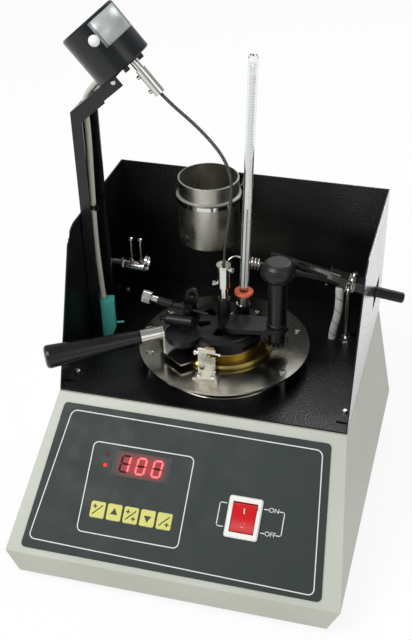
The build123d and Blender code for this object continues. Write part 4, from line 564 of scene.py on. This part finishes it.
# %% Three digits
DIGIT_PITCH, DIGIT_W, DIGIT_H, SEGMENT, LEAN = 12.7, 6.4, 12.2, 1.45, 0.10
glow, _, shader, _ = finish("lit red segment", "#E0484C", roughness=0.5)
shader.inputs["Emission Color"].default_value = colour("#FF5A60")
shader.inputs["Emission Strength"].default_value = 1.3
unlit = finish("unlit red segment", "#2A0608", roughness=0.5, Specular_IOR_Level=0.1)[0]
SEGMENTS = {
    "top": ((-1, 1), (1, 1)), "middle": ((-1, 0), (1, 0)), "bottom": ((-1, -1), (1, -1)),
    "upper_left": ((-1, 1), (-1, 0)), "upper_right": ((1, 1), (1, 0)),
    "lower_left": ((-1, 0), (-1, -1)), "lower_right": ((1, 0), (1, -1)),
}
SHOWN = ({"upper_right", "lower_right"}, set(SEGMENTS) - {"middle"}, set(SEGMENTS) - {"middle"})
lit_shape, dark_shape = bmesh.new(), bmesh.new()
for i, shown in enumerate(SHOWN):
    centre = WINDOW_X + (i - 1) * DIGIT_PITCH
    for name, ends in SEGMENTS.items():
        points = []
        for u, v in ends:
            x, y = u * DIGIT_W / 2, v * DIGIT_H / 2
            points.append(Vector((centre + x + LEAN * y, WINDOW_Y + y)))
        run = (points[1] - points[0]).normalized()
        points = (points[0] + run * SEGMENT * 0.9, points[1] - run * SEGMENT * 0.9)
        bar(lit_shape if name in shown else dark_shape, *points, SEGMENT, INK)
piece("digits_lit", lit_shape, on_film, glow)
piece("digits_unlit", dark_shape, on_film, unlit)
print("digits ready")

# %% [markdown]
# ## Symbols on the keys and the rocker
# The five keys carry plain arrows and slashes, and the rocker the I and O that every mains switch has.
# Each symbol rides on its own key, so that it moves when the key is pressed.

# %% Key symbols
KEY_X, KEY_PITCH, KEY_Y, KEY_TOP = -63.2, 13.1, -87.0, 1.3
SYMBOL, STROKE = 3.4, 0.9        # reach and line width of a symbol


def arrow(direction):
    """A solid triangle that points up or down."""
    shape = bmesh.new()
    turn = Matrix.Rotation(0 if direction > 0 else pi, 4, "Z")
    bmesh.ops.create_cone(shape, cap_ends=True, segments=3, radius1=SYMBOL, radius2=SYMBOL, depth=INK,
                          matrix=turn)
    return shape


def slashed(dots):
    """A slash with a small mark on each side."""
    shape = bmesh.new()
    bar(shape, (-SYMBOL, -SYMBOL), (SYMBOL, SYMBOL), STROKE, INK)
    for x, y in dots:
        bar(shape, (x - 1.2, y), (x + 1.2, y), STROKE, INK)
        bar(shape, (x, y - 1.2), (x, y + 1.2), STROKE, INK)
    return shape


ABOVE, BELOW = (-2.4, 2.4), (2.4, -2.4)      # the places beside a slash
symbols = [slashed([ABOVE]), arrow(1), slashed([ABOVE, BELOW]), arrow(-1), slashed([BELOW])]
for i, shape in enumerate(symbols):
    key_top = panel @ Matrix.Translation((KEY_X + i * KEY_PITCH, KEY_Y, KEY_TOP))
    piece(f"key_symbol_{i + 1}", shape, key_top, black_ink, f"key_{i + 1}")
print("key symbols ready")

# %% [markdown]
# The rocker's top is hollowed like a shallow gutter, so its two marks are laid on that curve.

# %% I and O on the rocker
ROCKER_AT, ROCKER_TILT = (48.0, -74.5, FILM - 1.0), radians(9)
HOLLOW_R, HOLLOW_AT = 26.0, 28.6         # radius of the hollow, and how high its centre lies
I_LENGTH, I_AT = 4.0, 5.6                # each mark's size and its place along the rocker
O_RADII, O_AT = (2.1, 1.35), -4.6
rocker_top = panel @ Matrix.Translation(ROCKER_AT) @ Matrix.Rotation(ROCKER_TILT, 4, "X")


def laid(shape, y):
    """Moves a flat mark along the rocker, and lays it on the hollow."""
    bmesh.ops.solidify(shape, geom=shape.faces[:], thickness=-INK)
    for vertex in shape.verts:
        vertex.co.y += y
        vertex.co.z += HOLLOW_AT - sqrt(HOLLOW_R ** 2 - vertex.co.y ** 2)
    return shape


stroke = bmesh.new()
bmesh.ops.create_grid(stroke, x_segments=1, y_segments=6, size=0.5)
bmesh.ops.scale(stroke, verts=stroke.verts, vec=(STROKE, I_LENGTH, 1))
piece("rocker_mark_on", laid(stroke, I_AT), rocker_top, white_ink, "rocker")
circle = bmesh.new()
for radius in O_RADII:
    bmesh.ops.create_circle(circle, segments=32, radius=radius)
bmesh.ops.bridge_loops(circle, edges=circle.edges[:])
piece("rocker_mark_off", laid(circle, O_AT), rocker_top, white_ink, "rocker")
print("rocker marks ready")

# %% [markdown]
# ## Cords, sleeve and glow wire
# Four things are drawn out or wound rather than cut from solid: the flexible shaft, the motor's lead,
# the lighter's braided sleeve and its glow coil. Each follows a NURBS curve through a few points, the
# way the real one finds its line between two fixings. We let Blender work the curve out, read its
# points back, and carry a ring of vertices along them. Building the tube ourselves gives it a map
# that runs round it and along it in millimetres, so a winding or a braid can follow the bends.

# %% A tube along a route


def follow(route, finer=12):
    """The points of the smooth curve whose control points are the route."""
    curve = bpy.data.curves.new("route", "CURVE")
    curve.dimensions = "3D"
    curve.resolution_u = finer
    spline = curve.splines.new("NURBS")
    spline.points.add(len(route) - 1)
    for point, place in zip(spline.points, route):
        point.co = (*place, 1)
    spline.order_u = 3
    spline.use_endpoint_u = True
    holder = bpy.data.objects.new("route", curve)
    mesh = bpy.data.meshes.new_from_object(holder)
    points = [vertex.co.copy() for vertex in mesh.vertices]
    bpy.data.objects.remove(holder)
    return points


def tube(points, radius, sides=18):
    """A ring of vertices carried along the points, with a map in millimetres round and along it."""
    shape = bmesh.new()
    turn_layer = shape.verts.layers.float.new("turn")
    along_layer = shape.verts.layers.float.new("along")
    ahead = (points[1] - points[0]).normalized()
    spin = Vector((0, 0, 1)).rotation_difference(ahead)
    ring = bmesh.ops.create_circle(shape, cap_ends=True, segments=sides, radius=radius)["verts"]
    for i, vertex in enumerate(ring):
        vertex[turn_layer] = i / sides
    bmesh.ops.transform(shape, verts=ring, matrix=Matrix.Translation(points[0]) @ spin.to_matrix().to_4x4())
    edges, caps = shape.edges[:], shape.faces[:]
    travelled = 0.0
    for i in range(1, len(points)):
        step = points[i] - points[i - 1]
        travelled += step.length
        onward = points[min(i + 1, len(points) - 1)] - points[i - 1]
        swing = ahead.rotation_difference(onward.normalized()).to_matrix().to_4x4()
        ahead = onward.normalized()
        grown = bmesh.ops.extrude_edge_only(shape, edges=edges)["geom"]
        ring = [item for item in grown if isinstance(item, bmesh.types.BMVert)]
        edges = [item for item in grown if isinstance(item, bmesh.types.BMEdge)
                 and all(v in ring for v in item.verts)]
        move = Matrix.Translation(points[i]) @ swing @ Matrix.Translation(-points[i - 1])
        bmesh.ops.transform(shape, verts=ring, matrix=move)
        for vertex in ring:
            vertex[along_layer] = travelled / MM
    caps += bmesh.ops.contextual_create(shape, geom=edges)["faces"]
    chart = shape.loops.layers.uv.new("wrap")
    around = 2 * pi * radius / MM
    for face in shape.faces:
        turns = [loop.vert[turn_layer] for loop in face.loops]
        wraps = face not in caps and max(turns) - min(turns) > 0.5
        for loop in face.loops:
            turn = loop.vert[turn_layer]
            turn += 1 if wraps and turn < 0.5 else 0
            loop[chart].uv = (turn * around, loop.vert[along_layer])
        face.smooth = face not in caps
    return shape


def tube_piece(name, route, radius, material, body="base", finer=12, sides=18):
    """A tube as a finished object. It prints its length."""
    points = follow(route, finer)
    length = sum((b - a).length for a, b in zip(points, points[1:]))
    made = piece(name, tube(points, radius, sides), Matrix(), material, body, smooth=None)
    print(f"{name}: {length / MM:.0f} mm long, {len(points)} rings")
    return made


# %% [markdown]
# A winding is a wave on the tube's own map: it rises once for every start round the tube and once for
# every pitch along it. Two such waves of opposite hand, laid over each other, make a braid.

# %% Wound, braided and sheathed finishes


def helix(tree, around_mm, pitch_mm, starts=1):
    """A wave from 0 to 1 that winds along the tube's own map."""
    chart = add(tree, "UVMap", uv_map="wrap").outputs["UV"]
    parts = add(tree, "SeparateXYZ", {"Vector": chart})
    turn = add(tree, "Math", {0: parts.outputs["X"], 1: 2 * pi * starts / around_mm}, operation="MULTIPLY")
    run = add(tree, "Math", {0: parts.outputs["Y"], 1: 2 * pi / pitch_mm}, operation="MULTIPLY")
    both = add(tree, "Math", {0: turn.outputs[0], 1: run.outputs[0]}, operation="ADD")
    wave = add(tree, "Math", {0: both.outputs[0]}, operation="SINE")
    return ramp(tree, wave.outputs[0], -1, 1)


SHAFT_R, SLEEVE_R, LEAD_R = 1.25, 3.3, 2.3
wound_steel, tree, shader, _ = finish("wound steel shaft", "#4A4945", 1.0, 0.34)
winding = helix(tree, 2 * pi * SHAFT_R, 1.1)     # drawn twice as coarse as the real wire, so that it shows
into(shader, "Base Color", blend_colours(tree, winding, "#262523", "#6B6964"))
bump(tree, shader, winding, 0.25, 0.9)

BRAID, STRANDS = 2.4, 7          # the length of one crossing of the braid, and its strands each way
TRACER = 11.0                    # the length in which the coloured thread goes round once
glass_braid, tree, shader, _ = finish("braided glass sleeve", "#D9D7CD", 0.0, 0.6,
                                      Specular_IOR_Level=0.3)
left_hand = helix(tree, 2 * pi * SLEEVE_R, BRAID, STRANDS)
right_hand = helix(tree, 2 * pi * SLEEVE_R, BRAID, -STRANDS)
weave = add(tree, "Math", {0: left_hand, 1: right_hand}, operation="MAXIMUM").outputs[0]
tracer = ramp(tree, helix(tree, 2 * pi * SLEEVE_R, TRACER), 0.94, 0.98)
threads = blend_colours(tree, ramp(tree, weave, 0.2, 1.0), "#C6C3B8", "#DEDCD3")
into(shader, "Base Color", blend_colours(tree, tracer, threads, "#A39BA6"))
bump(tree, shader, weave, 0.12, 0.5)

lead_sheath, tree, shader, _ = finish("silicone glass sheath", "#CFCBBB", 0.0, 0.5)
weave = helix(tree, 2 * pi * LEAD_R, 1.6, 2)
into(shader, "Base Color", blend_colours(tree, weave, "#BDB9A8", "#D9D5C6"))
bump(tree, shader, weave, 0.08, 0.5)

glow_wire = plain_metal("resistance wire", "#C9C6BF", 0.2, 3.0)
print("wound finishes ready")

# %% [markdown]
# The shaft hangs from the motor's coupling down to the stirrer on the lid, so it has to bend when the
# lid is lifted out; here it rides on no body and stays as drawn. The braided sleeve runs between the
# deck and the swinging lighter, and stays as drawn too.

# %% Flexible shaft, motor lead and braided sleeve
SLEEVE_TOP = 87.8
shaft_route = [at(*p) for p in (
    (-51.5, 82.0, 220.4), (-43.1, 82.0, 210.5), (-17.0, 79.2, 191.8), (1.8, 76.0, 173.0), (7.8, 73.6, 155.0),
    (6.4, 71.0, 130.0), (1.5, 69.0, SLEEVE_TOP + 6.0), (1.5, 69.0, SLEEVE_TOP - 10.5),
)]
shaft = tube_piece("flexible_drive", shaft_route, SHAFT_R * MM, wound_steel, None, sides=14)
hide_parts("flexible_shaft")
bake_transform(shaft)

COLUMN_X = -111.3
lead_route = [at(COLUMN_X + x, y, z) for x, y, z in (
    (19.0, 82.5, 218.6), (4.2, 86.0, 206.0), (6.8, 84.5, 184.0), (6.2, 82.5, 140.0),
    (5.0, 82.0, 96.0), (5.6, 82.0, 60.0), (7.4, 81.2, 32.0),
)]
lead = tube_piece("sheathed_lead", lead_route, LEAD_R * MM, lead_sheath)
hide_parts("motor_lead")

sleeve_route = [at(*p) for p in (
    (80.5, 117.7, -14.0), (80.5, 117.7, 5.0), (83.7, 118.4, 19.0), (84.9, 119.7, 32.0), (83.9, 122.2, 47.0),
)]
sleeve = tube_piece("braided_sleeve", sleeve_route, SLEEVE_R * MM, glass_braid, None, sides=24)
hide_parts("igniter_sleeve")
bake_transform(sleeve)

# %% [markdown]
# The lighter's coil is a helix worked out in the lever's own frame, which is turned and tilted like
# the lever. A dozen points to a turn keep the curve round. The wire then runs on to a hooked tip,
# which glows when the lighter is switched on.

# %% Glow coil
COIL_AT, COIL_TURNS, COIL_PITCH, COIL_R, WIRE_R = 74.9, 4, 2.7, 4.6, 0.8
LEVER_AT, LEVER_YAW, LEVER_TILT = (92.6, 123.6, 48.7), radians(8.25), radians(12.0)
TIP = ((4.5, -1.5, 0.6), (9.0, -2.5, 1.3), (13.5, -1.5, -0.3), (15.6, 0.2, -4.2))
lever = (Matrix.Translation(at(*LEVER_AT)) @ Matrix.Rotation(pi + LEVER_YAW, 4, "Z")
         @ Matrix.Rotation(-LEVER_TILT, 4, "Y") @ Matrix.Scale(MM, 4))
coil_route = [(COIL_AT - 8.0, -1.0, 0.0), (COIL_AT - 3.6, -1.0, 0.0)]
PER_TURN = 12
for i in range(COIL_TURNS * PER_TURN + 1):
    angle = 2 * pi * i / PER_TURN + pi
    coil_route.append((COIL_AT + COIL_PITCH * i / PER_TURN, COIL_R * cos(angle), COIL_R * sin(angle)))
coil_end = COIL_AT + COIL_PITCH * COIL_TURNS
coil_route += [(coil_end + x, y, z) for x, y, z in TIP]
coil = tube_piece("glow_coil", [lever @ Vector(p) for p in coil_route], WIRE_R * MM, glow_wire, "igniter",
                  finer=4, sides=10)
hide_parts("igniter_coil")

# %% [markdown]
# ## The thermometer
# A laboratory thermometer is a solid glass stem with a fine capillary in front of a white enamel
# strip. Seen through the round glass, the strip looks wider and very bright. So the CAD stem gets
# clear glass, and a strip, a capillary and a scale of short ticks stand inside it and ride with it.

# %% Glass stem, strip and scale
THERMO_AT, THERMO_LEAN, THERMO_TOP = (14.0, 79.5, 36.0), radians(2.1), 214.0
stem_glass, tree, shader, place = finish("laboratory glass", "#F3F7F5", 0.0, 0.02,
                                         Transmission_Weight=1.0, IOR=1.47)
prints = noise(tree, place, 9, 3.0)
into(shader, "Roughness", ramp(tree, prints, 0.45, 0.75, 0.01, 0.06))
nodes["thermometer"].data.materials.clear()
nodes["thermometer"].data.materials.append(stem_glass)
strip_enamel = finish("white enamel strip", "#EDEEEA", roughness=0.5)[0]
tick_ink = finish("etched black scale", "#3A3C3C", roughness=0.7)[0]
stem = (Matrix.Translation(at(*THERMO_AT)) @ Matrix.Rotation(THERMO_LEAN, 4, "Y")
        @ Matrix.Rotation(radians(10), 4, "Z") @ Matrix.Rotation(pi / 2, 4, "X") @ Matrix.Scale(MM, 4))
strip_shape = bmesh.new()
bar(strip_shape, (0, 28.0), (0, THERMO_TOP - 7.0), 2.3, 0.4)
bmesh.ops.translate(strip_shape, verts=strip_shape.verts, vec=(0, 0, -1.2))
piece("thermometer_strip", strip_shape, stem, strip_enamel, "thermometer")
scale_shape = bmesh.new()
bar(scale_shape, (0, -20.0), (0, 96.0), 0.32, 0.25)
FIRST_TICK, TICK_GAP, TICKS = 36.0, 2.0, 82      # every fifth tick is a long one
for i in range(TICKS):
    long_tick = i % 5 == 0
    z = FIRST_TICK + i * TICK_GAP
    bar(scale_shape, (0.35, z), (1.1 if long_tick else 0.75, z), 0.28, 0.12)
bmesh.ops.translate(scale_shape, verts=scale_shape.verts, vec=(0, 0, -0.6))
piece("thermometer_scale", scale_shape, stem, tick_ink, "thermometer")
print("thermometer ready")

# %% [markdown]
# ## Labels on the motor
# The motor carries a silver label, wrapped round its can, and a small white inspection sticker. Both
# are left blank. A label is made flat, cut fine enough to bend, and then wrapped: across becomes an
# angle about the motor's axis. The motor's own frame has Z along its shaft.

# %% Motor frame and wrapped labels
MOTOR_FACE, MOTOR_SLOPE, MOTOR_R = (-71.9, 82.0, 231.9), radians(40.5), 22.3
down_shaft = Vector((sin(MOTOR_SLOPE), 0, -cos(MOTOR_SLOPE)))
up_slope = Vector((cos(MOTOR_SLOPE), 0, sin(MOTOR_SLOPE)))
motor_frame = Matrix((up_slope, Vector((0, -1, 0)), down_shaft)).transposed().to_4x4()
motor_frame = Matrix.Translation(at(*MOTOR_FACE)) @ motor_frame @ Matrix.Scale(MM, 4)
FOIL = 0.12      # thickness of a label
LABEL_W, LABEL_H, LABEL_TURN, LABEL_ALONG = 29.0, 19.6, 26.5, -27.2
STICKER_R, STICKER_TURN, STICKER_ALONG = 4.0, 73.3, -26.3


def wrapped(shape, angle, along):
    """Lays a flat shape, across by along, on the motor's can, centred at that angle and height."""
    bmesh.ops.solidify(shape, geom=shape.faces[:], thickness=-FOIL)
    for vertex in shape.verts:
        across, run, lift = vertex.co
        turn = radians(angle) + across / MOTOR_R
        vertex.co = ((MOTOR_R + lift) * cos(turn), (MOTOR_R + lift) * sin(turn), along + run)
    return shape


silver_foil, tree, shader, place = finish("silver printed foil", "#B4B9B7", 0.35, 0.38)
fade = noise(tree, place, 7, 4.0)
into(shader, "Base Color", blend_colours(tree, ramp(tree, fade, 0.4, 0.7), "#B9BEBB", "#A9AFAC"))
blue_print = finish("blue printed border", "#2E4152", 0.2, 0.45)[0]
sticker_paper = finish("white paper sticker", "#E9E8E6", roughness=0.7)[0]
label_shape = bmesh.new()
bmesh.ops.create_grid(label_shape, x_segments=16, y_segments=2, size=0.5)
bmesh.ops.scale(label_shape, verts=label_shape.verts, vec=(LABEL_W, LABEL_H, 1))
label_shape = wrapped(label_shape, LABEL_TURN, LABEL_ALONG)
piece("motor_label", label_shape, motor_frame, silver_foil, smooth=True)
for i, across in enumerate((62.0, 59.5)):
    line_shape = bmesh.new()
    bmesh.ops.create_grid(line_shape, x_segments=2, y_segments=2, size=0.5)
    bmesh.ops.scale(line_shape, verts=line_shape.verts, vec=(0.5, LABEL_H, 1))
    bmesh.ops.translate(line_shape, verts=line_shape.verts, vec=(0, 0, FOIL))
    line_shape = wrapped(line_shape, across, LABEL_ALONG)
    piece(f"motor_label_line_{i + 1}", line_shape, motor_frame, blue_print, smooth=True)
sticker_shape = bmesh.new()
bmesh.ops.create_circle(sticker_shape, cap_ends=True, segments=32, radius=STICKER_R)
bmesh.ops.poke(sticker_shape, faces=sticker_shape.faces[:])
bmesh.ops.translate(sticker_shape, verts=sticker_shape.verts, vec=(0, 0, FOIL))
sticker_shape = wrapped(sticker_shape, STICKER_TURN, STICKER_ALONG)
piece("motor_sticker", sticker_shape, motor_frame, sticker_paper, smooth=True)
print("labels ready")

# %% [markdown]
# ## Floor and light
# The picture has a plain white ground. A large pale floor does that without extra lamps: seen
# directly it is nearly white, while its diffuse part still takes a faint shadow. The light is soft
# and broad, from high in front and from the left, with a weaker fill from the right.

# %% Floor, world and lamps


def seen_by(tree, *kinds):
    """1 for rays of these kinds, and 0 for all others."""
    rays = add(tree, "LightPath")
    seen = rays.outputs[kinds[0]]
    for kind in kinds[1:]:
        seen = add(tree, "Math", {0: seen, 1: rays.outputs[kind]}, operation="MAXIMUM").outputs[0]
    return seen


floor_paint, tree, shader, _ = finish("white studio floor", "#F4F4F2", roughness=0.9)
SHARE = 0.88     # of plain white in the floor as it is seen; the rest takes shadows
seen = seen_by(tree, "Is Camera Ray", "Is Glossy Ray", "Is Transmission Ray")
share = add(tree, "Math", {0: seen, 1: SHARE}, operation="MULTIPLY")
white = add(tree, "Emission", {"Color": colour("#FFFFFF"), "Strength": 1.0})
mixed = add(tree, "MixShader", {0: share.outputs[0], 1: shader.outputs[0], 2: white.outputs[0]})
tree.links.new(mixed.outputs[0], tree.nodes["Material Output"].inputs["Surface"])
floor_shape = bmesh.new()
bmesh.ops.create_grid(floor_shape, x_segments=1, y_segments=1, size=6.0)
floor_mesh = bpy.data.meshes.new("floor")
floor_shape.to_mesh(floor_mesh)
floor_shape.free()
floor_mesh.materials.append(floor_paint)
floor = bpy.data.objects.new("floor", floor_mesh)
floor.location.z = cad_box[0][2]
bpy.context.collection.objects.link(floor)

world = bpy.data.worlds.new("studio")
world.use_nodes = True
bpy.context.scene.world = world
tree = world.node_tree
seen = seen_by(tree, "Is Camera Ray", "Is Transmission Ray")
ambient = tree.nodes["Background"]
ambient.inputs["Color"].default_value = colour("#F3F6FA")
ambient.inputs["Strength"].default_value = 0.45
white = add(tree, "Background", {"Color": colour("#FFFFFF"), "Strength": 1.0})
mixed = add(tree, "MixShader", {0: seen, 1: ambient.outputs[0], 2: white.outputs[0]})
tree.links.new(mixed.outputs[0], tree.nodes["World Output"].inputs["Surface"])


def lamp(name, place, aim, size, watts):
    """A square soft lamp that points at a place."""
    light = bpy.data.lights.new(name, "AREA")
    light.size, light.energy = size, watts
    made = bpy.data.objects.new(name, light)
    made.location = place
    made.rotation_euler = (Vector(aim) - Vector(place)).to_track_quat("-Z", "Y").to_euler()
    bpy.context.collection.objects.link(made)


MIDDLE = (0, 0, 0.15)
lamp("key_light", (-0.7, -0.9, 1.5), MIDDLE, 0.9, 22)
lamp("fill_light", (1.3, -0.8, 0.9), MIDDLE, 1.0, 4)
lamp("back_light", (0.2, 1.2, 1.3), MIDDLE, 0.8, 8)
bpy.context.scene.view_settings.view_transform = "Standard"
print("floor and lamps ready")
